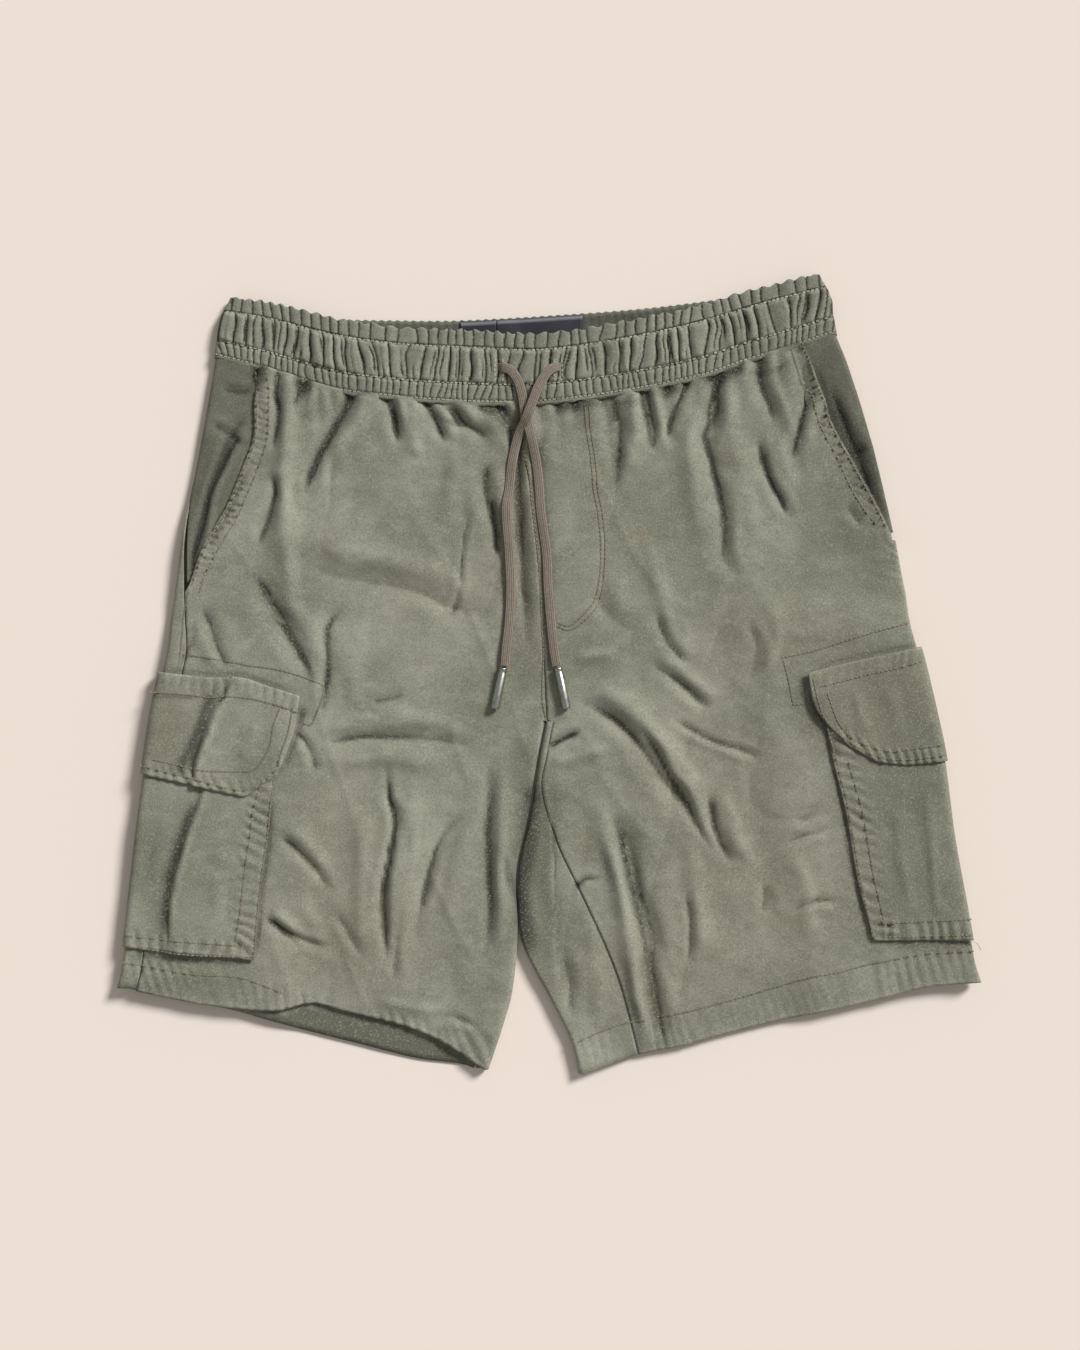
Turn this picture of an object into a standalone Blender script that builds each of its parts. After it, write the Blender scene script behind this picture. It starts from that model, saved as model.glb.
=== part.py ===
"""Cargo shorts laid flat, front up.

Frame: X to the wearer's left (viewer's right), Y towards the waist, Z up, floor at z = 0.
All tables and sizes are in millimetres; MM turns them into metres when a mesh is made.
A leg is a flattened tube: the back panel lies on the floor, the front panel lies on it,
and the cloth turns round a fold line at each side.
"""
import math

import bmesh
import bpy
from mathutils import Vector

MM = 0.001

# ---------------------------------------------------------------- driving sizes (mm)
WALL = 1.2               # one thickness of washed twill
HEM_WALL = 2.4           # turned hem
BAND_WALL = 2.6          # elastic casing
LABEL_WALL = 1.0
SEAM_GAP = 0.3
LAYER = WALL + 0.55      # one layer lying on the next, middle to middle
FOLD_RADIUS = 2.5        # side folds and inner-leg folds
QUARTER = math.pi * FOLD_RADIUS / 2
BASE_RISE = 3.3          # front panel over back panel, middle to middle
DEEPEST_TROUGH = 1.0
HEM_RISE = 0.8           # the front lies this much higher over the two hems
HEM_HEIGHT = 19.0
HEM_STEP = 2.5           # the wall thickens over this height above the hem
HEM_ROWS = 2             # the hem's own rows: its top and its foot
CROTCH_Y = -32.0
SIDE_WRAP = 8.0          # how far a front turns under past a fold
MOUTH_REACH = 14.0       # pocket facing continues this far under the front
POCKET_UNDER = 80.0      # rear half of a cargo pocket
FLAP_UNDER = 86.0        # rear half of a cargo flap
STACK_MARGIN = 24.0      # the panels stay lifted this far past a pocket or flap
STACK_RAMP = 30.0        # and come down over this length
BAND_FRONT_MID = 6.3
BAND_BACK_MID = BAND_WALL / 2
RIB_PITCH = 9.0          # gathers of the waistband
RIB_HEIGHT = 0.6
CORD_WIDTH = 7.0
CORD_THICKNESS = 2.4
AGLET_LENGTH = 30.0
AGLET_RADIUS = 3.0
BUTTONHOLE_WIDTH = 2.0
HIDDEN_GAP = 1.4         # between curved edges on the underside
PANEL_TOP_GAP = 0.5      # panels under the waistband
BACK_TOP_GAP = 1.5
LEG_TOP_Y = CROTCH_Y - 4
CENTRE_BACK_X = -4.0
INSEAM_FOOT_Y = -265.0
FOLD_FOOT_Y = -278.0

# ---------------------------------------------------------------- grid of the panels
ROWS_FRONT = 21
ROWS_MOUTH = 7           # along the pocket mouth
ROWS_RISE = 9            # along the centre front
ROWS_LEG = 11            # below the crotch
ROWS_BACK = 18
ROWS_BACK_RISE = 6
COLUMNS_FRONT = 13
COLUMNS_BACK = 7
WRAP_COLUMNS_LEFT = 6

# ---------------------------------------------------------------- outlines (mm)
# Across the garment: x, y
BAND_TOP = ((-222, 262), (-197, 259), (-154, 249), (-110, 242), (-51, 239), (-6, 237), (41, 243),
            (86, 252), (117, 260), (159, 272), (190, 279))
BAND_BOTTOM = ((-233, 221), (-200, 212), (-147, 196), (-115, 192), (-83, 189), (-35, 187), (9, 189),
               (59, 196), (108, 206), (137, 216), (166, 225), (201, 237))
BACK_TOP = ((-222, 257), (-190, 250), (-154, 248), (-107, 247), (-61, 247), (25, 252), (73, 256),
            (114, 261), (150, 266), (190, 274))
HEM_FRONT_LEFT = ((-303, -217), (-271, -224), (-239, -230), (-190, -234), (-165, -229),
                  (-144, -234), (-99, -245), (-71, -257), (-42, -276))
HEM_BACK_LEFT = ((-303, -217), (-239, -229), (-217, -233), (-169, -246), (-130, -255), (-91, -264),
                 (-57, -268), (-42, -275))
HEM_RIGHT = ((20, -279), (33, -276), (63, -265), (92, -259), (121, -251), (161, -241),
             (202, -232), (232, -225), (262, -217), (303, -213))
# Down the garment: y, x
SIDE_LEFT = ((-222, -303), (-197, -299), (-149, -293.5), (-92, -286.5), (-33, -278.5),
             (4, -271), (44, -262), (94, -255), (156, -243), (213, -233), (236, -230),
             (250, -227), (266, -219))
SIDE_RIGHT = ((-214, 303), (-192, 299), (-163, 294), (-113, 285), (-60, 278), (-35, 273), (8, 263),
              (54, 250), (98, 241), (141, 231), (175, 222), (216, 209), (240, 200), (262, 197),
              (282, 188))
CENTRE_FRONT = ((CROTCH_Y, -1), (14, -3), (55, -5), (119, -11), (158, -17), (192, -21))
INNER_LEFT = ((-277, -42.6), (-247, -32.6), (-222, -25.6), (-179, -21.6), (-138, -22.6),
              (-99, -14.6), (-57, -7.6), (CROTCH_Y, -2.6))
INNER_RIGHT = ((-280, 22), (-257, 17), (-228, 3), (-197, -13.5), (-180, -19.2), (-138, -20.2),
               (-99, -12.2), (-57, -5.2), (CROTCH_Y, -0.2))
INSEAM_RIGHT = ((-266, 63), (-241, 57), (-213, 49), (-183, 37), (-149, 21), (-117, 6), (-80, -4.5),
                (-57, -1), (CROTCH_Y, 3.8))
MOUTH_LEFT = ((63, -249), (91, -239), (114, -225), (143, -213), (165, -205), (193, -204),
              (210, -201))
MOUTH_RIGHT = ((98, 238), (121, 227), (147, 213), (174, 198), (190, 193), (203, 188), (219, 182),
               (230, 176))
# Reach of the left side seam round its fold: y, reach (over 0 is on the front)
SEAM_REACH_LEFT = ((-222, 15), (3, 15), (29, 13), (52, 9), (69, 6.5), (117, 1), (160, -1),
                   (230, -1.5))
POCKET_EDGE_LEFT = ((-198, -204), (-163, -201), (-109, -194), (-73, -190), (-14, -186))
POCKET_EDGE_RIGHT = ((-184, 226), (-144, 215), (-98, 207), (-52, 196), (-10, 190))
# Flaps, from the fold inwards: x, y
FLAP_TOP_LEFT = ((-271, 2), (-235, -2), (-213, -2), (-194, -8), (-172, -15))
FLAP_BOTTOM_LEFT = ((-286, -68), (-246, -77), (-210, -85), (-187, -69))
FLAP_END_LEFT = ((-69, -187), (-42, -177), (-15, -172))
FLAP_TOP_RIGHT = ((180, 1), (207, 8), (230, 13), (258, 19))
FLAP_BOTTOM_RIGHT = ((208, -49), (229, -61), (249, -63), (277, -60))
FLAP_END_RIGHT = ((-49, 208), (-25, 186), (1, 180))

# Largest folds of the fronts: x1, y1, x2, y2, half width, height (under 0 is a trough)
FOLDS = (
    (-181, 190, -183, 100, 16, 2.6), (-183, 100, -174, 30, 18, 2.0),
    (-203, 80, -172, 16, 13, -1.2), (-139, 188, -168, 130, 12, -1.2),
    (-112, 186, -108, 140, 12, 1.8), (-172, 82, -96, 59, 16, -1.2), (-96, 59, -40, 36, 16, -1.0),
    (-130, 30, -120, -30, 20, 2.2), (-163, -48, -60, -48, 15, -1.2),
    (-112, -64, -115, -196, 14, -1.4), (-70, -96, -92, -190, 18, 2.4),
    (-140, -110, -150, -190, 18, 2.2), (119, 196, 114, 150, 12, -1.2),
    (121, 120, 122, 70, 14, -1.0), (148, 165, 169, 108, 13, -1.2), (90, 190, 82, 120, 16, 2.2),
    (160, 190, 178, 120, 14, 2.2), (76, 60, 98, 5, 16, 1.8), (30, -25, 75, -66, 13, -1.4),
    (75, -66, 105, -108, 13, -1.4), (120, -90, 150, -180, 20, 2.6), (100, -140, 90, -230, 18, 2.0),
    (170, -60, 190, -160, 18, 1.6), (60, -120, 75, -200, 14, -1.0),
)

# Free ends of the drawcord, from buttonhole to aglet: x, y, extra height over the cloth
CORD_LEFT_HOLE = ((-32, 214, 0.6), (-26, 211, 0.4), (-21, 204, 0.2), (-18, 194, 0.2), (-16, 182, 0.3),
                  (-12, 166, 0.6), (-8, 147, 0.2), (-6, 129, 0), (-5, 113, 0), (-1, 84, 0),
                  (0, 61, 0), (2, 37, 0), (4, 18, 0.6), (6, 6, 1.4))
CORD_RIGHT_HOLE = ((6, 214, 0.6), (0, 210, 1.2), (-6, 201, 2.6), (-10, 191, 3.4), (-15, 178, 3.6),
                   (-21, 165, 3.0), (-25, 147, 0.8), (-27, 129, 0), (-29, 113, 0), (-27, 84, 0),
                   (-26, 61, 0), (-27, 37, 0), (-29, 18, 0.6), (-30, 6, 1.4))
AGLET_RIGHT_AT = ((7, 4.5), (13, -24))
AGLET_LEFT_AT = ((-31, 4.5), (-37, -24))
BUTTONHOLES = ((-34, 212), (7, 212))
BUTTONHOLE_HEIGHT = 14.0
LABELS = (("label_main", -36, 24), ("label_size", -61, -36.4))
LABEL_DEPTH = 27.0

# ---------------------------------------------------------------- colours (linear RGB)
TWILL = (0.112, 0.110, 0.070)
TWILL_DARK = (0.060, 0.058, 0.038)
CORD = (0.075, 0.055, 0.040)
NAVY = (0.012, 0.014, 0.024)
STEEL = (0.42, 0.43, 0.40)


# ---------------------------------------------------------------- curves and masks
def smooth(table, at):
    """Smooth value of a two-column table, continued straight past its ends."""
    count = len(table)
    index = 0
    while index < count - 2 and at > table[index + 1][0]:
        index += 1
    (a, left), (b, right) = table[index], table[index + 1]
    before = table[index - 1] if index else table[index]
    after = table[index + 2] if index < count - 2 else table[index + 1]
    slope_left = (right - before[1]) / (b - before[0])
    slope_right = (after[1] - left) / (after[0] - a)
    width = b - a
    t = (at - a) / width
    if t < 0:
        return left + slope_left * (at - a)
    if t > 1:
        return right + slope_right * (at - b)
    return ((2 * t**3 - 3 * t**2 + 1) * left + (t**3 - 2 * t**2 + t) * width * slope_left
            + (3 * t**2 - 2 * t**3) * right + (t**3 - t**2) * width * slope_right)


def straight(table, at):
    """Value of a two-column table with straight runs between its points."""
    index = 0
    while index < len(table) - 2 and at > table[index + 1][0]:
        index += 1
    (a, left), (b, right) = table[index], table[index + 1]
    return blend(left, right, (at - a) / (b - a))


def ease(t):
    t = min(1.0, max(0.0, t))
    return t * t * (3 - 2 * t)


def plateau(value, low, high, ramp):
    """1 between low and high, easing to 0 over the ramp outside them."""
    return ease((value - low) / ramp + 1) * ease((high - value) / ramp + 1)


def blend(a, b, t):
    return a + (b - a) * t


def spread(start, end, count):
    return [blend(start, end, step / count) for step in range(count + 1)]


# ---------------------------------------------------------------- the two halves
class Side:
    """One half: its inward direction, outline, cargo pocket and flap."""

    def __init__(self, inward, outline, inner, mouth, stack_y):
        self.inward = inward
        self.outline = outline
        self.inner = inner
        self.mouth = mouth
        self.stack_y = stack_y      # from below the cargo pocket to above its flap

    def layers(self, y):
        """Layers wrapped round the fold here: pocket and flap."""
        return 2 * plateau(y, *self.stack_y, STACK_RAMP)

    def outer(self, y):
        """Middle of the panel at the side fold."""
        return smooth(self.outline, y) + self.inward * (WALL / 2 + LAYER * self.layers(y))

    def depth(self, x, y):
        """Distance in from the side fold."""
        return (x - self.outer(y)) * self.inward

    def inner_depth(self, x, y):
        """Distance in from the inner-leg fold."""
        return (smooth(self.inner, y) - x) * self.inward

    def mouth_lift(self, x, y):
        """1 where the front lies over the pocket facing."""
        inside = (x - smooth(self.mouth, y)) * self.inward
        low_end = self.mouth[0][0]
        return plateau(inside, -40, MOUTH_REACH + 3, 22) * ease((y - low_end) / 32 + 1)


LEFT = Side(1, SIDE_LEFT, INNER_LEFT, MOUTH_LEFT, (-206, 12))
RIGHT = Side(-1, SIDE_RIGHT, INNER_RIGHT, MOUTH_RIGHT, (-198, 30))


def side_of(x, y):
    return LEFT if x < smooth(CENTRE_FRONT, y) else RIGHT


# ---------------------------------------------------------------- heights
def hem_bottom(x):
    """Height of the lower hem edge on the plan, whichever leg x is on."""
    return smooth(HEM_BACK_LEFT, x) if x < -8 else smooth(HEM_RIGHT, x)


def back_mid(x, y):
    """Middle of the back panel, lifted over what lies beneath it."""
    side = LEFT if x < -8 else RIGHT
    depth = side.depth(x, y)
    beneath = 2 * ease((side.stack_y[1] - y) / STACK_RAMP + 1)
    beneath *= plateau(depth, -60, FLAP_UNDER + STACK_MARGIN, STACK_RAMP)
    hem = min(1.0, max(0.0, (hem_bottom(x) + HEM_HEIGHT + 20 - y) / 16))
    return WALL / 2 + LAYER * beneath + (HEM_WALL - WALL) / 2 * hem


def fold_relief(x, y):
    """Sum of the large folds at a point."""
    total = 0.0
    for x1, y1, x2, y2, half_width, height in FOLDS:
        run = Vector((x2 - x1, y2 - y1))
        along = max(0.0, min(1.0, (Vector((x - x1, y - y1)) @ run) / run.length_squared))
        away = Vector((x - x1, y - y1)) - run * along
        total += height * math.exp(-(away.length / half_width) ** 2)
    return total


def calm(x, y, side):
    """0 where another piece lies on the front, so that it lies flat there."""
    depth = side.depth(x, y)
    cargo = plateau(depth, -60, 112, 22) * plateau(y, *side.stack_y, 20)
    cord = plateau(x, -44, 22, 14) * plateau(y, -34, 260, 12)
    mouth = side.mouth_lift(x, y)
    hem = ease((hem_bottom(x) + HEM_HEIGHT + 30 - y) / 26)
    return (1 - cargo) * (1 - cord) * (1 - mouth) * (1 - hem)


def facing_mid(x, y):
    """Middle of the skin that lies over the back panel, with no folds in it."""
    side = side_of(x, y)
    outer = ease(1 - (side.depth(x, y) - FOLD_RADIUS) / 30)
    inner = ease(1 - (side.inner_depth(x, y) - FOLD_RADIUS) / 26) * ease((CROTCH_Y + 4 - y) / 30)
    waist = ease(1 - (smooth(BAND_BOTTOM, x) - y) / 60)
    puff = 1 - (1 - outer) * (1 - inner) * (1 - waist)
    hem = ease((hem_bottom(x) + HEM_HEIGHT + 24 - y) / 14) * ease((side.depth(x, y) - 100) / 16)
    return back_mid(x, y) + blend(BASE_RISE + HEM_RISE * hem, 2 * FOLD_RADIUS, puff)


def front_mid(x, y):
    """Middle of the front panels."""
    side = side_of(x, y)
    relief = fold_relief(x, y) * calm(x, y, side)
    return facing_mid(x, y) + max(-DEEPEST_TROUGH, relief) + LAYER * side.mouth_lift(x, y)


# ---------------------------------------------------------------- cloth round a fold
def round_fold(edge, inward, reach, y, level=0.0, skin=front_mid):
    """Point on the cloth at a reach from a fold line; over 0 is on the front, under 0 beneath.

    level counts the layers between this cloth and the panels.
    """
    root = edge + inward * FOLD_RADIUS
    out = level * LAYER
    if abs(reach) <= QUARTER:
        top = skin(root, y) + out
        bottom = back_mid(root, y) - out
        angle = reach / FOLD_RADIUS
        return Vector((root - inward * (FOLD_RADIUS + out) * math.cos(angle), y,
                       (top + bottom) / 2 + (top - bottom) / 2 * math.sin(angle)))
    x = root + inward * (abs(reach) - QUARTER)
    z = skin(x, y) + out if reach > 0 else back_mid(x, y) - out
    return Vector((x, y, z))


def reach_of(side, x, y):
    """Reach from the side fold of a point on the front."""
    return side.depth(x, y) - FOLD_RADIUS + QUARTER


# ---------------------------------------------------------------- patches and meshes
def coons(top, bottom, start, end):
    """Grid of plan points between four boundary lists; start and end run from top to bottom."""
    rows = []
    for j in range(len(start)):
        v = j / (len(start) - 1)
        row = []
        for i in range(len(top)):
            u = i / (len(top) - 1)
            ruled = top[i] * (1 - v) + bottom[i] * v + start[j] * (1 - u) + end[j] * u
            corner = (top[0] * (1 - u) + top[-1] * u) * (1 - v)
            corner += (bottom[0] * (1 - u) + bottom[-1] * u) * v
            row.append(ruled - corner)
        rows.append(row)
    return rows


def plan(*pairs):
    return [Vector(pair) for pair in pairs]


def down(line, top, foot, count, hem=False):
    """Points down a line, a function that gives x at y; a hem has its own rows at the foot."""
    if not hem:
        return [Vector((line(y), y)) for y in spread(top, foot, count)]
    heights = spread(top, foot + HEM_HEIGHT + HEM_STEP, count - 2)
    heights += [foot + HEM_HEIGHT, foot]
    return [Vector((line(y), y)) for y in heights]


def across(table, start, end, count, shift=0.0):
    """Points across an x, y table, shifted in y."""
    return [Vector((x, smooth(table, x) + shift)) for x in spread(start, end, count)]


def material(name, colour, roughness, metallic=0.0):
    made = bpy.data.materials.new(name)
    made.use_nodes = True
    shader = made.node_tree.nodes["Principled BSDF"]
    shader.inputs["Base Color"].default_value = (*colour, 1)
    shader.inputs["Roughness"].default_value = roughness
    shader.inputs["Metallic"].default_value = metallic
    return made


def grid_mesh(rows):
    """bmesh grid whose vertices stand at the rows of points."""
    columns = len(rows[0])
    mesh = bmesh.new()
    bmesh.ops.create_grid(mesh, x_segments=columns - 1, y_segments=len(rows) - 1, size=1)
    mesh.verts.ensure_lookup_table()
    grid = []
    for j, row in enumerate(rows):
        line = [mesh.verts[j * columns + i] for i in range(columns)]
        for vert, point in zip(line, row):
            vert.co = point * MM
        grid.append(line)
    return mesh, grid


def extend(mesh, edge_verts, columns):
    """Extrudes a run of boundary vertices through further columns; returns their vertices."""
    run = edge_verts
    made_columns = []
    for column in columns:
        edges = [mesh.edges.get(pair) for pair in zip(run, run[1:])]
        made = bmesh.ops.extrude_edge_only(mesh, edges=edges)
        fresh = [item for item in made["geom"] if isinstance(item, bmesh.types.BMVert)]
        following = []
        for vert, point in zip(run, column):
            match = min(fresh, key=lambda other: (other.co - vert.co).length_squared)
            fresh.remove(match)
            following.append(match)
        for vert, point in zip(following, column):
            vert.co = point * MM
        run = following
        made_columns.append(run)
    return made_columns


def cloth_object(name, mesh, wall, colour, hem=()):
    """Object of a bmesh sheet with a wall; the hem's vertices get the hem's thickness."""
    bmesh.ops.recalc_face_normals(mesh, faces=mesh.faces)
    mesh.verts.index_update()
    hem_index = [vert.index for vert in hem]
    data = bpy.data.meshes.new(name)
    mesh.to_mesh(data)
    mesh.free()
    made = bpy.data.objects.new(name, data)
    bpy.context.collection.objects.link(made)
    data.materials.append(material(name, colour, 0.9))
    data.shade_smooth()
    data.set_sharp_from_angle(angle=math.radians(50))
    solid = made.modifiers.new("wall", "SOLIDIFY")
    solid.offset = 0
    solid.use_even_offset = True
    solid.thickness = wall * MM
    if hem_index:
        group = made.vertex_groups.new(name="wall")
        group.add(range(len(data.vertices)), WALL / HEM_WALL, "REPLACE")
        group.add(hem_index, 1.0, "REPLACE")
        solid.thickness = HEM_WALL * MM
        solid.vertex_group = "wall"
    return made


# ---------------------------------------------------------------- panels
def lines_beside(table, shift):
    """Function of y that runs beside a y, x table."""
    return lambda y: smooth(table, y) + shift


def fold_root(side, inset=0.0):
    """Function of y for the line where a side fold begins, or further in."""
    return lambda y: side.outer(y) + side.inward * (FOLD_RADIUS + inset)


def seam_left(shift):
    """Function of y that runs beside the left side seam, where it lies on the front."""
    return lambda y: LEFT.outer(y) + FOLD_RADIUS + smooth(SEAM_REACH_LEFT, y) - QUARTER + shift


def band_seam(x, gap=PANEL_TOP_GAP):
    """Top edge of the panels, just under the waistband."""
    return smooth(BAND_BOTTOM, x) - gap


def raised(rows, height):
    return [[Vector((*point, height(*point))) for point in row] for row in rows]


def hem_verts(grid, *folds):
    """Vertices of a panel's hem; folds are the columns that were extruded beside its grid."""
    foot = [vert for line in grid[-HEM_ROWS:] for vert in line]
    for columns in folds:
        foot += [vert for column in columns for vert in column[-HEM_ROWS:]]
    return foot


def front_left():
    top_x = -201
    top_y = band_seam(top_x)
    mouth_end = MOUTH_LEFT[0][0]
    outer = down(lines_beside(MOUTH_LEFT, 0), top_y, mouth_end, ROWS_MOUTH)
    outer += down(seam_left(SEAM_GAP), mouth_end - 10, -220, ROWS_FRONT - ROWS_MOUTH - 1,
                  hem=True)
    centre = down(lines_beside(CENTRE_FRONT, -SEAM_GAP / 2), band_seam(-20), CROTCH_Y, ROWS_RISE)
    leg = down(lines_beside(INNER_LEFT, -FOLD_RADIUS), LEG_TOP_Y, -275, ROWS_LEG, hem=True)
    inner = centre + leg
    top = across(BAND_BOTTOM, outer[0].x, inner[0].x, COLUMNS_FRONT, -PANEL_TOP_GAP)
    bottom = across(HEM_FRONT_LEFT, outer[-1].x, inner[-1].x, COLUMNS_FRONT)
    mesh, grid = grid_mesh(raised(coons(top, bottom, outer, inner), front_mid))
    run = [line[-1] for line in grid[ROWS_RISE + 1:]]
    columns = fold_columns(run, lambda y: smooth(INNER_LEFT, y), -1,
                           (QUARTER / 2, 0, -QUARTER / 2, -QUARTER, -QUARTER - SIDE_WRAP + 2))
    folds = extend(mesh, run, columns)
    return cloth_object("front_left", mesh, WALL, TWILL, hem_verts(grid, folds))


def front_right():
    top_x = 176
    mouth_end = MOUTH_RIGHT[0][0]
    outer = down(lines_beside(MOUTH_RIGHT, 0), band_seam(top_x), mouth_end, ROWS_MOUTH)
    outer += down(fold_root(RIGHT), mouth_end - 12, -214, ROWS_FRONT - ROWS_MOUTH - 1, hem=True)
    outer[ROWS_MOUTH].x = fold_root(RIGHT)(mouth_end)
    centre = down(lines_beside(CENTRE_FRONT, SEAM_GAP / 2), band_seam(-20), CROTCH_Y, ROWS_RISE)
    inseam = down(lines_beside(INSEAM_RIGHT, SEAM_GAP / 2), LEG_TOP_Y, INSEAM_FOOT_Y, ROWS_LEG,
                  hem=True)
    inner = centre + inseam
    top = across(BAND_BOTTOM, outer[0].x, inner[0].x, COLUMNS_FRONT, -PANEL_TOP_GAP)
    bottom = across(HEM_RIGHT, outer[-1].x, inner[-1].x, COLUMNS_FRONT)
    mesh, grid = grid_mesh(raised(coons(top, bottom, outer, inner), front_mid))
    run = [line[0] for line in grid[ROWS_MOUTH:]]
    columns = fold_columns(run, RIGHT.outer, -1,
                           (QUARTER / 2, 0, -QUARTER / 2, -QUARTER, -QUARTER - SIDE_WRAP))
    folds = extend(mesh, run, columns)
    return cloth_object("front_right", mesh, WALL, TWILL, hem_verts(grid, folds))


def fold_columns(run, edge_at, inward, reaches):
    """Columns of points round a fold for a run of vertices; each reach is a number or f(y)."""
    columns = []
    for reach in reaches:
        column = []
        for vert in run:
            y = vert.co.y / MM
            at = reach(y) if callable(reach) else reach
            column.append(round_fold(edge_at(y), inward, at, y))
        columns.append(column)
    return columns


def back_left():
    outer = down(fold_root(LEFT), band_seam(-229, BACK_TOP_GAP), -218, ROWS_BACK, hem=True)
    centre = down(lambda y: CENTRE_BACK_X - SEAM_GAP / 2, band_seam(CENTRE_BACK_X, BACK_TOP_GAP),
                  CROTCH_Y, ROWS_BACK_RISE)
    wrap = FOLD_RADIUS + SIDE_WRAP - 2 + HIDDEN_GAP
    leg = down(lines_beside(INNER_LEFT, -wrap), LEG_TOP_Y, -275, ROWS_LEG, hem=True)
    inner = centre + leg
    top = across(BAND_BOTTOM, outer[0].x, inner[0].x, COLUMNS_BACK, -BACK_TOP_GAP)
    bottom = across(HEM_BACK_LEFT, outer[-1].x, inner[-1].x, COLUMNS_BACK)
    mesh, grid = grid_mesh(raised(coons(top, bottom, outer, inner), back_mid))
    run = [line[0] for line in grid]
    reaches = [lambda y, part=part: blend(-QUARTER, smooth(SEAM_REACH_LEFT, y) - SEAM_GAP, part)
               for part in spread(0, 1, WRAP_COLUMNS_LEFT)[1:]]
    folds = extend(mesh, run, fold_columns(run, LEFT.outer, 1, reaches))
    return cloth_object("back_left", mesh, WALL, TWILL_DARK, hem_verts(grid, folds))


def back_right():
    wrap = SIDE_WRAP + HIDDEN_GAP
    outer = down(fold_root(RIGHT, wrap), band_seam(190, BACK_TOP_GAP), -215, ROWS_BACK, hem=True)
    centre = down(lambda y: CENTRE_BACK_X + SEAM_GAP / 2, band_seam(CENTRE_BACK_X, BACK_TOP_GAP),
                  CROTCH_Y, ROWS_BACK_RISE)
    leg = down(lines_beside(INNER_RIGHT, FOLD_RADIUS), LEG_TOP_Y, FOLD_FOOT_Y, ROWS_LEG,
               hem=True)
    inner = centre + leg
    top = across(BAND_BOTTOM, outer[0].x, inner[0].x, COLUMNS_BACK, -BACK_TOP_GAP)
    bottom = across(HEM_RIGHT, outer[-1].x, inner[-1].x, COLUMNS_BACK)
    mesh, grid = grid_mesh(raised(coons(top, bottom, outer, inner), back_mid))
    run = [line[-1] for line in grid[ROWS_BACK_RISE + 1:]]

    columns = fold_columns(run, lambda y: smooth(INNER_RIGHT, y), 1,
                           (-QUARTER / 2, 0, QUARTER / 2, QUARTER))
    for part in (1 / 3, 2 / 3, 1):
        column = []
        for vert in run:
            y = vert.co.y / MM
            rise = part * (INSEAM_FOOT_Y - FOLD_FOOT_Y) * (y - LEG_TOP_Y) / (FOLD_FOOT_Y - LEG_TOP_Y)
            root = smooth(INNER_RIGHT, y) + FOLD_RADIUS
            x = blend(root, smooth(INSEAM_RIGHT, y + rise) - SEAM_GAP / 2, part)
            column.append(Vector((x, y + rise, front_mid(x, y + rise))))
        columns.append(column)
    folds = extend(mesh, run, columns)
    return cloth_object("back_right", mesh, WALL, TWILL_DARK, hem_verts(grid, folds))


# ---------------------------------------------------------------- pieces that wrap a side fold
def wrapped_rows(side, reach_at, top_of, bottom_of, rows, columns, level, skin):
    """Rows of points of a piece that lies round a side fold.

    reach_at(column, y) gives the reach; top_of(x) and bottom_of(x) give the plan edges.
    """
    grid = []
    for j in range(rows + 1):
        row = []
        for i in range(columns):
            y = blend(top_of(side.outer(0)), bottom_of(side.outer(0)), j / rows)
            for _ in range(3):
                point = round_fold(side.outer(y), side.inward, reach_at(i, y), y, level, skin)
                y = blend(top_of(point.x), bottom_of(point.x), j / rows)
            point = round_fold(side.outer(y), side.inward, reach_at(i, y), y, level, skin)
            row.append(point)
        grid.append(row)
    return grid


def hip_facing(name, side, low_y, starts):
    """Cloth that shows in a pocket mouth; starts(y) is its reach at the side seam."""
    shares = (0, 0.06, 0.12, 0.2, 0.3, 0.4, 0.55, 0.75, 1)

    def reach_at(column, y):
        end_x = smooth(side.mouth, y) + side.inward * MOUTH_REACH
        return blend(starts(y), reach_of(side, end_x, y), shares[column])

    rows = wrapped_rows(side, reach_at, lambda x: band_seam(x) - SEAM_GAP, lambda x: low_y, 7,
                        len(shares), 0, facing_mid)
    mesh, _ = grid_mesh(rows)
    return cloth_object(name, mesh, WALL, TWILL_DARK)


def cargo_piece(name, side, level, under, end_table, top_of, bottom_of, rows):
    """Pocket or flap that straddles a side fold."""
    rear = -(under - FOLD_RADIUS + QUARTER)
    fixed = [rear, blend(rear, -QUARTER, 0.35), blend(rear, -QUARTER, 0.7), -QUARTER, -QUARTER / 2,
             0, QUARTER / 2, QUARTER]
    shares = (0.26, 0.5, 0.75, 1)

    def reach_at(column, y):
        if column < len(fixed):
            return fixed[column]
        end = reach_of(side, smooth(end_table, y), y)
        return blend(QUARTER, end, shares[column - len(fixed)])

    grid = wrapped_rows(side, reach_at, top_of, bottom_of, rows, len(fixed) + len(shares), level,
                        front_mid)
    mesh, _ = grid_mesh(grid)
    return cloth_object(name, mesh, WALL, TWILL)


# ---------------------------------------------------------------- waistband and labels
BAND_ENDS = {"left": ((221, -232), (236, -230), (250, -227), (262, -221)),
             "right": ((237, 201), (253, 198), (262, 197), (279, 189))}
BAND_END_WRAP = 6.0


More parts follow.
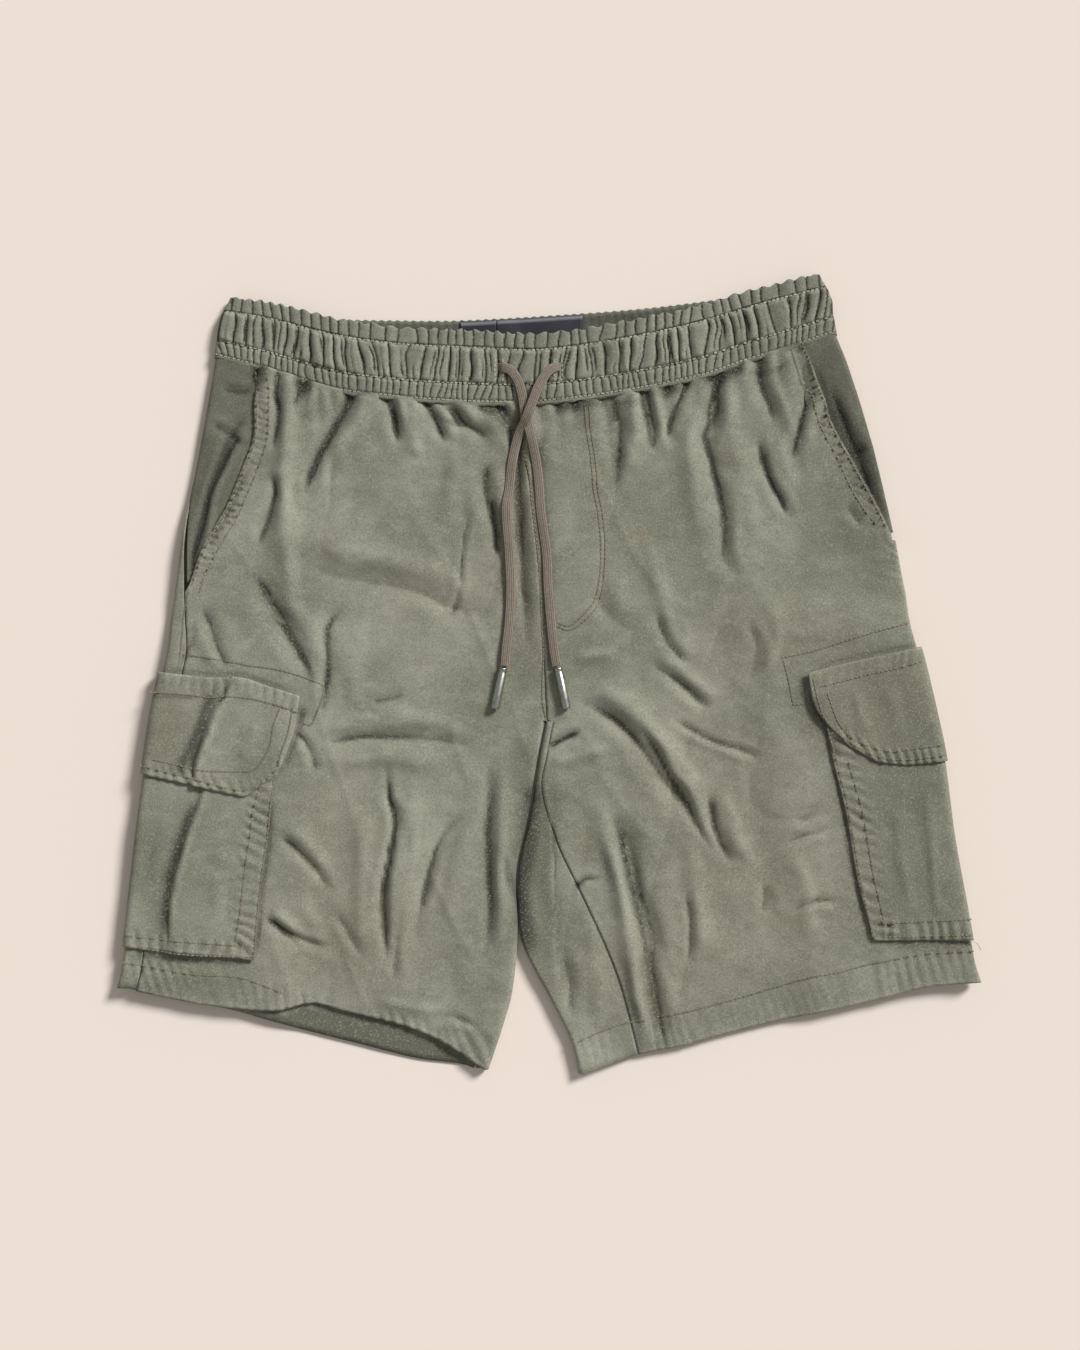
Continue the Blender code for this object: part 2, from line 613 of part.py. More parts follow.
def waistband_front():
    """Gathered band: ribs across, held down along the stitch lines."""
    columns = 2 * round((189 + 221) / RIB_PITCH)
    shares = (0, 0.25, 0.6, 1)
    held = (1, 0.4, 1.2, 0.6)
    rows = []
    for share, rise in zip(shares, held):
        row = []
        for i in range(columns + 1):
            part = i / columns
            start = blend(262, 221, share)
            end = blend(279, 237, share)
            left_x = smooth(BAND_ENDS["left"], start) + FOLD_RADIUS
            right_x = smooth(BAND_ENDS["right"], end) - FOLD_RADIUS
            x = blend(left_x, right_x, part)
            y = blend(smooth(BAND_TOP, x), smooth(BAND_BOTTOM, x), share)
            rib = 0 if i in (0, columns) else RIB_HEIGHT * rise * (1 if i % 2 else -1)
            row.append(Vector((x, y, BAND_FRONT_MID + rib)))
        rows.append(row)
    mesh, grid = grid_mesh(rows)
    for run, sign in (([line[0] for line in grid], -1), ([line[-1] for line in grid], 1)):
        columns = []
        middle = (BAND_FRONT_MID + BAND_BACK_MID) / 2
        for angle in (math.pi / 4, 0, -math.pi / 4, -math.pi / 2):
            columns.append([Vector((vert.co.x / MM + sign * FOLD_RADIUS * math.cos(angle),
                                    vert.co.y / MM,
                                    middle + (BAND_FRONT_MID - middle) * math.sin(angle)))
                            for vert in run])
        columns.append([Vector((vert.co.x / MM - sign * BAND_END_WRAP, vert.co.y / MM,
                                BAND_BACK_MID)) for vert in run])
        extend(mesh, run, columns)
    made = cloth_object("waistband_front", mesh, BAND_WALL, TWILL)
    for number, (x, y) in enumerate(BUTTONHOLES):
        cut = made.modifiers.new(f"buttonhole_{number}", "BOOLEAN")
        cut.object = buttonhole_cutter(f"buttonhole_cutter_{number}", x, y)
        cut.solver = "EXACT"
    return made


def buttonhole_cutter(name, x, y):
    mesh = bmesh.new()
    bmesh.ops.create_cube(mesh, size=1)
    size = Vector((BUTTONHOLE_WIDTH, BUTTONHOLE_HEIGHT, 6)) * MM
    bmesh.ops.scale(mesh, vec=size, verts=mesh.verts)
    bmesh.ops.translate(mesh, vec=Vector((x, y, BAND_FRONT_MID)) * MM, verts=mesh.verts)
    data = bpy.data.meshes.new(name)
    mesh.to_mesh(data)
    mesh.free()
    made = bpy.data.objects.new(name, data)
    bpy.context.collection.objects.link(made)
    made.hide_render = True
    made.display_type = "WIRE"
    return made


def waistband_back():
    """Back of the band; its inside shows above the front's top edge."""
    wrap = FOLD_RADIUS + BAND_END_WRAP + SEAM_GAP
    rows = []
    for share in (0, 0.5, 1):
        row = []
        for part in spread(0, 1, 24):
            left_x = smooth(BAND_ENDS["left"], blend(258, 221, share)) + wrap
            right_x = smooth(BAND_ENDS["right"], blend(274, 237, share)) - wrap
            x = blend(left_x, right_x, part)
            y = blend(smooth(BACK_TOP, x), smooth(BAND_BOTTOM, x), share)
            row.append(Vector((x, y, BAND_BACK_MID)))
        rows.append(row)
    mesh, _ = grid_mesh(rows)
    return cloth_object("waistband_back", mesh, BAND_WALL, TWILL_DARK)


def label(name, start, end):
    height = BAND_WALL + SEAM_GAP + LABEL_WALL / 2
    rows = []
    for share in (0, 1):
        rows.append([Vector((x, smooth(BACK_TOP, x) - 0.8 - LABEL_DEPTH * share, height))
                     for x in spread(start, end, 4)])
    mesh, _ = grid_mesh(rows)
    return cloth_object(name, mesh, LABEL_WALL, NAVY)


# ---------------------------------------------------------------- drawcord
def cloth_top(x, y):
    """Upper face of the cloth under the drawcord, band included."""
    band_face = BAND_FRONT_MID + BAND_WALL / 2 + RIB_HEIGHT
    on_band = ease((y - smooth(BAND_BOTTOM, x) + 14) / 12)
    return blend(front_mid(x, y) + WALL / 2, band_face, on_band)


def cord_path(points):
    """The cord's points at equal steps along a smooth curve through its route."""
    knots = [Vector((x, y, cloth_top(x, y) + SEAM_GAP + CORD_THICKNESS / 2 + up))
             for x, y, up in points]
    dense = []
    for index in range(len(knots) - 1):
        before = knots[max(index - 1, 0)]
        start, end = knots[index], knots[index + 1]
        after = knots[min(index + 2, len(knots) - 1)]
        for t in spread(0, 1, 8)[:-1]:
            dense.append(((2 * start) + (end - before) * t
                          + (2 * before - 5 * start + 4 * end - after) * t**2
                          + (3 * start - before - 3 * end + after) * t**3) / 2)
    dense.append(knots[-1])
    return dense[::2] if (len(dense) - 1) % 2 == 0 else dense


def cord_tube(name, points):
    curve = bpy.data.curves.new(name, "CURVE")
    curve.dimensions = "3D"
    curve.twist_mode = "Z_UP"
    curve.bevel_depth = CORD_THICKNESS / 2 * MM
    curve.extrude = (CORD_WIDTH - CORD_THICKNESS) / 2 * MM
    curve.bevel_resolution = 2
    curve.use_fill_caps = True
    path = cord_path(points)[::3]
    spline = curve.splines.new("POLY")
    spline.points.add(len(path) - 1)
    for point, place in zip(spline.points, path):
        point.co = (*(place * MM), 1)
        point.tilt = math.pi / 2
    made = bpy.data.objects.new(name, curve)
    bpy.context.collection.objects.link(made)
    curve.materials.append(material(name, CORD, 0.9))
    return made


def aglet(name, start, end):
    height = AGLET_RADIUS + SEAM_GAP
    near = Vector((*start, cloth_top(*start) + height))
    far = Vector((*end, cloth_top(*end) + height))
    lift = max(near.z, far.z)
    near.z = far.z = lift
    axis = (far - near).normalized()
    mesh = bmesh.new()
    bmesh.ops.create_cone(mesh, cap_ends=True, segments=14, radius1=AGLET_RADIUS * MM,
                          radius2=AGLET_RADIUS * MM, depth=AGLET_LENGTH * MM)
    turn = Vector((0, 0, 1)).rotation_difference(axis).to_matrix()
    bmesh.ops.rotate(mesh, matrix=turn, verts=mesh.verts)
    middle = near + axis * AGLET_LENGTH / 2
    bmesh.ops.translate(mesh, vec=middle * MM, verts=mesh.verts)
    data = bpy.data.meshes.new(name)
    mesh.to_mesh(data)
    mesh.free()
    data.materials.append(material(name, STEEL, 0.3, 1.0))
    data.shade_smooth()
    data.set_sharp_from_angle(angle=math.radians(40))
    made = bpy.data.objects.new(name, data)
    bpy.context.collection.objects.link(made)
    return made


# ---------------------------------------------------------------- the whole garment
def main():
    for item in list(bpy.data.objects):
        bpy.data.objects.remove(item)
    back_left()
    back_right()
    front_left()
    front_right()
    hip_facing("hip_facing_left", LEFT, MOUTH_LEFT[0][0] + 1,
               lambda y: smooth(SEAM_REACH_LEFT, y) + HIDDEN_GAP)
    hip_facing("hip_facing_right", RIGHT, MOUTH_RIGHT[0][0] + 1, lambda y: -QUARTER - SIDE_WRAP)
    cargo_piece("cargo_pocket_left", LEFT, 1, POCKET_UNDER, POCKET_EDGE_LEFT, lambda x: -14.0,
                lambda x: blend(-189, -198, (x + 296) / 91), 6)
    cargo_piece("cargo_pocket_right", RIGHT, 1, POCKET_UNDER, POCKET_EDGE_RIGHT, lambda x: -10.0,
                lambda x: -184.5, 6)
    cargo_piece("cargo_flap_left", LEFT, 2, FLAP_UNDER, FLAP_END_LEFT,
                lambda x: smooth(FLAP_TOP_LEFT, x), lambda x: straight(FLAP_BOTTOM_LEFT, x), 4)
    cargo_piece("cargo_flap_right", RIGHT, 2, FLAP_UNDER, FLAP_END_RIGHT,
                lambda x: smooth(FLAP_TOP_RIGHT, x), lambda x: straight(FLAP_BOTTOM_RIGHT, x), 4)
    waistband_front()
    waistband_back()
    for row in LABELS:
        label(*row)
    cord_tube("drawcord_left_hole", CORD_LEFT_HOLE)
    cord_tube("drawcord_right_hole", CORD_RIGHT_HOLE)
    aglet("aglet_right", *AGLET_RIGHT_AT)
    aglet("aglet_left", *AGLET_LEFT_AT)


main()
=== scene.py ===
"""Cargo shorts laid flat, front up: finished cloth, stitching, drawcord and metal ends.

Sizes and tables are in millimetres; MM turns them into metres when a mesh is made.
"""
import math
from collections import namedtuple

import bmesh
import bpy
import numpy as np
from mathutils import Matrix, Vector


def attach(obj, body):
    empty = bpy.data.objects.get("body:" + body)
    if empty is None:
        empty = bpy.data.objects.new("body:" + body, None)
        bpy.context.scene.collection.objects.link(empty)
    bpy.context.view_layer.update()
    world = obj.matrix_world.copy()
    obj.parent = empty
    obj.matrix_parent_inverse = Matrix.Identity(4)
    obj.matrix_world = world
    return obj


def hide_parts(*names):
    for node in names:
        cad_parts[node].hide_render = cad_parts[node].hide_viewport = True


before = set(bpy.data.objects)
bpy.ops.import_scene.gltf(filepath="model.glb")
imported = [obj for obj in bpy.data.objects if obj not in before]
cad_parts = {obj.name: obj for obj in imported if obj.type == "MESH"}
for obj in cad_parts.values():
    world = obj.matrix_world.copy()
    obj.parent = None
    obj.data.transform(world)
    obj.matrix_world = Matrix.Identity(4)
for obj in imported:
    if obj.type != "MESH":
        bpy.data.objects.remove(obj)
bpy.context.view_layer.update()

MM = 0.001

# ---------------------------------------------------------------- sizes (mm)
WALL = 1.1
BAND_WALL = 1.6
LAYER = 1.75             # one layer lying on the next, middle to middle
FOLD_RADIUS = 2.5
QUARTER = math.pi * FOLD_RADIUS / 2
BASE_RISE = 4.6          # front over back, middle to middle
EDGE_RISE = 6.2
HEM_HEIGHT = 19.0
CROTCH_Y = -32.0
LEG_TOP_Y = -32.6
SIDE_WRAP = 8.0
MOUTH_REACH = 14.0
POCKET_UNDER = 80.0
FLAP_UNDER = 86.0
STACK_RAMP = 30.0
CENTRE_BACK_X = -4.0
INNER_FOOT_Y = -275.0
INSEAM_FOOT_Y = -265.0
FOLD_FOOT_Y = -278.0
BAND_MID = 7.4
BAND_BACK_MID = 1.3
THREAD = 0.85
STITCH_PITCH = 3.1
STITCH_LENGTH = 2.2
STITCH_UNEVEN = (0.9, 1.08)    # shortest and longest, as shares of the length
STITCH_HEIGHT = 0.6
STITCH_LIFT = 0.22
STITCH_TURN = 0.09       # radians, either way
SEAM_GAP = 0.15          # from a seam line to the cloth at each side of it
CREASE_LIFT = 1.35        # all creases are this much higher than their listed heights

# ---------------------------------------------------------------- view and light (metres)
CAMERA_AT = (-0.0056, -0.0004, 1.312)
CAMERA_LENS = 50
CAMERA_SENSOR = 36
SUN_TOWARDS = (0.60, 0.56, 0.57)
SUN_POWER = 3.9
SUN_ANGLE = math.radians(16)
ROOM_LIGHT = 0.34
FLOOR_REACH = 3.0
FLOOR_Z = -0.0006

# ---------------------------------------------------------------- outlines (mm)
# Across the garment: x, y
BAND_TOP = ((-222, 262), (-197, 259), (-154, 249), (-110, 242), (-51, 239), (-6, 237), (41, 243),
            (86, 252), (117, 260), (159, 272), (190, 279))
BAND_BOTTOM = ((-233, 221), (-200, 212), (-147, 196), (-115, 192), (-83, 189), (-35, 187), (9, 189),
               (59, 196), (108, 206), (137, 216), (166, 225), (201, 237))
BACK_TOP = ((-222, 257), (-190, 250), (-154, 248), (-107, 247), (-61, 247), (25, 252), (73, 256),
            (114, 261), (150, 266), (190, 274))
HEM_FRONT_LEFT = ((-303, -217), (-271, -224), (-239, -230), (-190, -234), (-165, -229),
                  (-144, -234), (-99, -245), (-71, -257), (-42, -276))
HEM_BACK_LEFT = ((-303, -217), (-239, -229), (-217, -233), (-169, -246), (-130, -255), (-91, -264),
                 (-57, -268), (-42, -275))
HEM_RIGHT = ((20, -279), (33, -276), (63, -265), (92, -259), (121, -251), (161, -241),
             (202, -232), (232, -225), (262, -217), (303, -213))
# Down the garment: y, x
SIDE_LEFT = ((-222, -303), (-197, -299), (-149, -293.5), (-92, -286.5), (-33, -278.5),
             (4, -271), (44, -262), (94, -255), (156, -243), (213, -233), (236, -230),
             (250, -227), (266, -219))
SIDE_RIGHT = ((-214, 303), (-192, 299), (-163, 294), (-113, 285), (-60, 278), (-35, 273), (8, 263),
              (54, 250), (98, 241), (141, 231), (175, 222), (216, 209), (240, 200), (262, 197),
              (282, 188))
CENTRE_FRONT = ((CROTCH_Y, -1), (14, -3), (55, -5), (119, -11), (158, -17), (192, -21))
INNER_LEFT = ((-277, -42.6), (-247, -32.6), (-222, -25.6), (-179, -21.6), (-138, -22.6),
              (-99, -14.6), (-57, -7.6), (CROTCH_Y, -2.6))
INNER_RIGHT = ((-280, 22), (-257, 17), (-228, 3), (-197, -13.5), (-180, -19.2), (-138, -20.2),
               (-99, -12.2), (-57, -5.2), (CROTCH_Y, -0.2))
INSEAM_RIGHT = ((-266, 63), (-241, 57), (-213, 49), (-183, 37), (-149, 21), (-117, 6), (-80, -4.5),
                (-57, -1), (CROTCH_Y, 3.8))
MOUTH_LEFT = ((63, -249), (91, -239), (114, -225), (143, -213), (165, -205), (193, -204),
              (210, -201))
MOUTH_RIGHT = ((98, 238), (121, 227), (147, 213), (174, 198), (190, 193), (203, 188), (219, 182),
               (230, 176))
# Reach of the left side seam round its fold: y, reach (over 0 is on the front)
SEAM_REACH_LEFT = ((-222, 15), (3, 15), (29, 13), (52, 9), (69, 6.5), (117, 1), (160, -1),
                   (230, -1.5))
POCKET_EDGE_LEFT = ((-198, -204), (-163, -201), (-109, -194), (-73, -190), (-14, -186))
POCKET_EDGE_RIGHT = ((-184, 226), (-144, 215), (-98, 207), (-52, 196), (-10, 190))
# Flaps, from the fold inwards: x, y
FLAP_TOP_LEFT = ((-271, 2), (-235, -2), (-213, -2), (-194, -8), (-172, -15))
FLAP_BOTTOM_LEFT = ((-286, -68), (-246, -77), (-210, -85), (-187, -69))
FLAP_END_LEFT = ((-69, -187), (-42, -177), (-15, -172))
FLAP_TOP_RIGHT = ((180, 1), (207, 8), (230, 13), (258, 19))
FLAP_BOTTOM_RIGHT = ((208, -49), (229, -61), (249, -63), (277, -60))
FLAP_END_RIGHT = ((-49, 208), (-25, 186), (1, 180))

# ---------------------------------------------------------------- creases of the cloth (mm)
Crease = namedtuple("Crease", "half_width height path")
CREASES = (
    # left front
    Crease(9, 3.2, ((-181, 191), (-184, 156), (-183, 124), (-180, 75), (-174, 30))),
    Crease(7, -2.2, ((-205, 75), (-192, 46), (-176, 22), (-162, -5))),
    Crease(4.5, -1.8, ((-194, 141), (-188, 130), (-196, 104), (-204, 84))),
    Crease(5.5, -2.6, ((-132, 214), (-139, 190), (-146, 175), (-162, 148), (-170, 122))),
    Crease(8, 2.0, ((-128, 188), (-138, 168), (-150, 145))),
    Crease(4, -2.4, ((-118, 212), (-113, 194), (-108, 178), (-104, 160))),
    Crease(4, -2.4, ((-96, 206), (-86, 190), (-77, 176), (-72, 160))),
    Crease(4.4, -2.4, ((-92, 200), (-72, 186), (-58, 176), (-40, 164))),
    Crease(6, 1.6, ((-98, 188), (-94, 170), (-92, 150))),
    Crease(2.6, -0.9, ((-54, 117), (-60, 84), (-64, 50), (-75, 32))),
    Crease(9, -1.5, ((-172, 82), (-144, 68), (-96, 59), (-64, 46), (-34, 34))),
    Crease(10, 1.5, ((-165, 98), (-140, 84), (-96, 76), (-60, 64))),
    Crease(5, -1.5, ((-138, 50), (-154, 32), (-153, 11), (-156, -21))),
    Crease(9, 1.6, ((-128, 40), (-136, 10), (-134, -24))),
    Crease(5, -1.8, ((-40, 124), (-38, 104), (-34, 80))),
    Crease(4.5, -2.4, ((-22, 200), (-21, 170), (-20, 120), (-17, 60), (-14, 14))),
    Crease(5, -2.4, ((-50, 204), (-38, 188), (-26, 176), (-22, 150))),
    Crease(4, -2.2, ((-184, 222), (-190, 200), (-188, 180), (-192, 150))),
    Crease(5, -1.8, ((-212, 230), (-208, 206), (-200, 196))),
    Crease(4, -1.8, ((-168, 214), (-172, 198), (-180, 184))),
    Crease(5, -1.7, ((-40, 150), (-44, 128), (-38, 100))),
    Crease(4, -1.7, ((-222, 0), (-230, 18), (-242, 50))),
    Crease(3.5, -1.2, ((-258, 2), (-248, 24), (-246, 44))),
    Crease(8, 1.2, ((-60, 168), (-66, 130), (-70, 96))),
    # left leg
    Crease(2.6, -1.5, ((-112, -64), (-110, -90), (-107, -104), (-112, -133), (-114, -170),
                       (-112, -204))),
    Crease(3.5, -1.6, ((-186, -112), (-172, -124), (-160, -138), (-152, -154))),
    Crease(3.5, -1.5, ((-198, -166), (-184, -178), (-168, -186), (-150, -190))),
    Crease(3, -1.2, ((-78, -120), (-84, -146), (-90, -170))),
    Crease(3.5, -1.3, ((-160, -70), (-166, -50), (-178, -40))),
    Crease(4, 1.5, ((-60, -240), (-90, -232), (-120, -228))),
    Crease(3, -1.0, ((-130, -200), (-140, -180), (-150, -166))),
    Crease(3, -1.3, ((-50, -246), (-66, -238), (-84, -236))),
    Crease(5, -1.6, ((-163, -48), (-130, -44), (-99, -44), (-71, -46), (-51, -51))),
    Crease(9, 1.7, ((-160, -62), (-120, -58), (-70, -62))),
    Crease(7, 1.2, ((-150, -34), (-110, -30), (-70, -32))),
    Crease(3.5, -1.1, ((-99, -13), (-112, -17), (-124, -19))),
    Crease(4, -2.0, ((-112, -60), (-110, -86), (-104, -98), (-112, -133), (-115, -164),
                     (-112, -192), (-116, -207))),
    Crease(8, 1.9, ((-97, -72), (-93, -112), (-99, -150), (-100, -200))),
    Crease(7, 1.3, ((-128, -90), (-130, -140), (-130, -200))),
    Crease(3, -1.2, ((-104, -178), (-106, -195), (-106, -214))),
    Crease(7, -1.3, ((-57, -94), (-74, -114), (-83, -133), (-91, -164))),
    Crease(8, 1.3, ((-48, -90), (-62, -130), (-68, -180))),
    Crease(5, -1.5, ((-38, -54), (-42, -113), (-40, -153), (-42, -192))),
    Crease(4, 1.3, ((-31, -60), (-34, -113), (-33, -153), (-35, -195))),
    Crease(5, -1.2, ((-187, -109), (-172, -128), (-160, -143))),
    Crease(5, -1.2, ((-197, -168), (-182, -182), (-169, -192))),
    Crease(9, 1.2, ((-176, -150), (-160, -180), (-150, -214))),
    # right front
    Crease(5.5, -2.6, ((124, 226), (119, 204), (114, 178), (108, 169), (114, 148), (121, 120), (124, 98),
                     (122, 82), (135, 59))),
    Crease(9, 2.0, ((104, 196), (98, 160), (104, 120), (108, 90))),
    Crease(8, 1.8, ((130, 205), (128, 170), (138, 130), (142, 90))),
    Crease(3.6, -2.0, ((145, 167), (151, 143), (161, 124), (169, 108))),
    Crease(7, 1.8, ((158, 170), (164, 148), (174, 126))),
    Crease(4.5, -2.3, ((180, 226), (180, 190), (174, 168), (171, 148))),
    Crease(5, -2.3, ((38, 206), (45, 188), (49, 167), (46, 140))),
    Crease(7, 1.5, ((58, 188), (60, 165), (58, 140))),
    Crease(4.2, -2.3, ((62, 208), (68, 186), (73, 170), (74, 152))),
    Crease(4.2, -2.2, ((98, 216), (94, 196), (86, 178), (82, 160))),
    Crease(4.5, -2.1, ((150, 232), (148, 206), (156, 184), (156, 170))),
    Crease(4, -1.3, ((206, 117), (213, 110), (219, 103))),
    Crease(3.6, -1.4, ((76, 48), (81, 27), (98, 5))),
    Crease(3.6, -1.3, ((69, 10), (92, -8), (111, -26))),
    Crease(5, 1.6, ((16, 11), (32, 14), (49, 16))),
    Crease(8, 1.4, ((70, 100), (78, 60), (92, 26))),
    Crease(7, -1.1, ((30, 60), (44, 40), (62, 30))),
    Crease(8, 1.3, ((150, 60), (160, 30), (150, 0))),
    Crease(6, -1.2, ((138, 40), (146, 14), (140, -10))),
    # right leg
    Crease(3, -1.6, ((60, -30), (74, -52), (92, -82), (108, -112), (120, -128))),
    Crease(3, -1.5, ((150, -60), (134, -52), (110, -44), (84, -28))),
    Crease(4, -1.4, ((232, -96), (206, -104), (176, -112), (160, -120))),
    Crease(3.5, -1.2, ((206, -160), (186, -156), (168, -164))),
    Crease(3, -1.2, ((96, -150), (100, -176), (98, -206))),
    Crease(3, -1.2, ((18, -150), (26, -142), (36, -142))),
    Crease(6, -2.2, ((15, -16), (41, -28), (59, -44), (77, -68), (93, -90), (105, -108))),
    Crease(9, 2.4, ((32, -10), (62, -27), (86, -54), (110, -90))),
    Crease(4, -1.2, ((81, 2), (105, -16), (113, -26))),
    Crease(3.8, -1.9, ((111, -80), (117, -112), (129, -133))),
    Crease(6, 1.7, ((122, -78), (130, -110), (142, -135))),
    Crease(8, 1.5, ((96, -110), (104, -150), (110, -200))),
    Crease(4, -1.2, ((151, -145), (151, -156), (150, -167))),
    Crease(7, -1.2, ((171, -104), (188, -96), (203, -90))),
    Crease(8, 1.3, ((168, -120), (180, -150), (182, -190))),
    Crease(3.2, -1.7, ((-2, -50), (10, -46), (24, -40))),
    Crease(6, 1.6, ((0, -62), (22, -56), (44, -52))),
    Crease(6.5, 3.0, ((34, -84), (41, -110), (47, -137), (55, -177), (61, -217), (67, -243),
                      (71, -275))),
    Crease(8, -2.6, ((50, -90), (56, -120), (62, -150), (69, -187), (75, -222), (82, -262))),
    Crease(4, -1.5, ((12, -190), (16, -217), (15, -240))),
    Crease(7, 1.2, ((28, -160), (34, -210), (38, -250))),
    Crease(7, -1.1, ((70, -150), (80, -190), (90, -225))),
)
POCKET_CREASES = (
    Crease(3.5, 1.0, ((-241, -88), (-252, -120), (-260, -152), (-262, -180))),
    Crease(3, -0.8, ((-270, -118), (-276, -128), (-280, -142))),
    Crease(7, 0.8, ((-225, -100), (-228, -140), (-230, -180))),
    Crease(4, 0.8, ((262, -80), (266, -120), (270, -170))),
    Crease(7, 0.8, ((240, -84), (246, -130), (252, -170))),
)
FLAP_CREASES = (
    Crease(3.2, 1.5, ((-220, -18), (-228, -22), (-235, -39), (-241, -56), (-246, -76))),
    Crease(2.6, -0.5, ((-226, -20), (-234, -30), (-241, -44), (-248, -70))),
    Crease(6, 0.9, ((-200, -30), (-206, -50), (-212, -62))),
    Crease(7, 0.8, ((236, -6), (240, -28), (244, -48))),
    Crease(5, 0.8, ((214, -10), (216, -26), (222, -44))),
)

# painted shadow: dark lines where the cloth tucks under itself or beside an edge that stands over it
ShadowLine = namedtuple("ShadowLine", "half_width strength path")
SHADOW_LINES = (
    # pocket mouths
    ShadowLine(2.8, 0.95, ((-206, 186), (-214, 174), (-227, 149), (-238, 118), (-245, 88), (-249, 64))),
    ShadowLine(2.2, 0.6, ((-204, 150), (-213, 132), (-226, 106), (-236, 86))),
    ShadowLine(4.0, 1.0, ((183, 222), (191, 204), (199, 182), (207, 165), (219, 142), (230, 120),
                      (238, 102))),
    ShadowLine(5.0, 0.5, ((196, 186), (214, 172), (226, 150), (230, 128))),
    # left front
    ShadowLine(3.2, 0.8, ((-137, 206), (-141, 190), (-147, 177), (-160, 152), (-169, 126))),
    ShadowLine(3.0, 0.6, ((-193, 196), (-186, 184), (-184, 160), (-188, 140))),
    ShadowLine(3.4, 0.9, ((-206, 76), (-192, 48), (-178, 24), (-166, 4), (-161, -12))),
    ShadowLine(2.4, 0.8, ((-152, 40), (-153, 12), (-154, -14), (-159, -30))),
    ShadowLine(4.5, 0.8, ((-52, 190), (-38, 182), (-27, 168), (-22, 146), (-20, 112), (-17, 80))),
    ShadowLine(6.0, 0.55, ((-46, 150), (-40, 128), (-35, 104), (-34, 80))),
    ShadowLine(2.0, 0.7, ((-110, 196), (-106, 186), (-104, 174))),
    ShadowLine(2.4, 0.7, ((-86, 192), (-76, 180), (-62, 172))),
    ShadowLine(5.0, 0.7, ((-8, 176), (-6, 140), (-3, 104), (1, 70), (-2, 40))),
    # centre seam
    ShadowLine(1.5, 0.8, ((-4, 60), (-3, 30), (-3, 0), (-1, -34))),
    # right front
    ShadowLine(4.0, 1.0, ((122, 212), (118, 200), (114, 188), (112, 178))),
    ShadowLine(2.4, 0.55, ((109, 170), (114, 150), (120, 124), (124, 96))),
    ShadowLine(4.5, 0.75, ((50, 194), (47, 176), (49, 150), (46, 126))),
    ShadowLine(2.0, 0.6, ((70, 184), (73, 172), (74, 162))),
    ShadowLine(1.6, 0.5, ((150, 160), (158, 134), (168, 110))),
    ShadowLine(2.0, 0.7, ((138, 212), (148, 209), (160, 212), (170, 219))),
    ShadowLine(1.5, 0.5, ((182, 198), (178, 176), (171, 156), (172, 148))),
    # between the legs, and the roll beside the inner leg
    ShadowLine(7.5, 1.25, ((-6, -62), (-11, -92), (-14, -120), (-18, -148), (-16, -178), (-6, -204))),
    ShadowLine(3.6, 1.1, ((44, -92), (52, -116), (60, -142), (66, -168), (71, -192), (73, -220), (79, -244),
                      (84, -268))),
    ShadowLine(1.1, 0.8, ((-4, -80), (6, -117), (21, -149), (37, -183), (49, -213), (57, -241), (63, -264))),
    ShadowLine(2.4, 0.45, ((26, -22), (46, -31), (62, -47), (79, -70), (95, -94), (106, -110))),
    ShadowLine(1.4, 0.5, ((112, -86), (118, -112), (129, -132))),
    ShadowLine(1.6, 0.6, ((1, -54), (10, -46), (22, -41))),
    # left leg
    ShadowLine(1.6, 0.5, ((-110, -104), (-113, -133), (-115, -166), (-113, -196))),
    ShadowLine(5.0, 0.35, ((-39, -60), (-43, -110), (-41, -160), (-43, -200))),
    ShadowLine(5.0, 0.35, ((-196, -168), (-180, -184), (-168, -196))),
    # beside the pockets and flaps
    ShadowLine(1.7, 1.0, ((-191.5, -76), (-193, -109), (-199.5, -163), (-202.5, -200))),
    ShadowLine(1.8, 0.8, ((-296, -193), (-250, -198.5), (-204, -201))),
    ShadowLine(1.6, 0.7, ((-274, 4.5), (-235, 0.5), (-213, 0.5), (-194, -5.5), (-170, -13))),
    ShadowLine(2.4, 0.8, ((-169, -18), (-174, -42), (-184, -68))),
    ShadowLine(1.5, 0.8, ((-280, -14), (-258, -15.5), (-242, -16))),
    ShadowLine(4.5, 1.0, ((-230, -8), (-237, -24), (-245, -42), (-252, -58), (-258, -74))),
    ShadowLine(5.0, 0.9, ((-245, -82), (-256, -120), (-264, -152), (-269, -186))),
    ShadowLine(1.9, 1.0, ((194, -52), (205, -98), (213, -144), (223, -184))),
    ShadowLine(1.8, 0.7, ((226, -187), (262, -187.5), (298, -187))),
    ShadowLine(4.5, 0.85, ((184, -12), (189, -30), (197, -46), (203, -60))),
    ShadowLine(1.6, 0.8, ((183, 4), (207, 11), (230, 16), (260, 22))),
    ShadowLine(3.0, 0.4, ((205, -52), (229, -64), (249, -66), (280, -63))),
    ShadowLine(2.4, 0.8, ((172, 2), (176, -8), (173, -18))),
)

# ---------------------------------------------------------------- drawcord (mm)
CORD_WIDTH = 6.8
CORD_THICKNESS = 2.4
CORD_AROUND = 48         # points round the cord
CORD_RIBS = 2.5
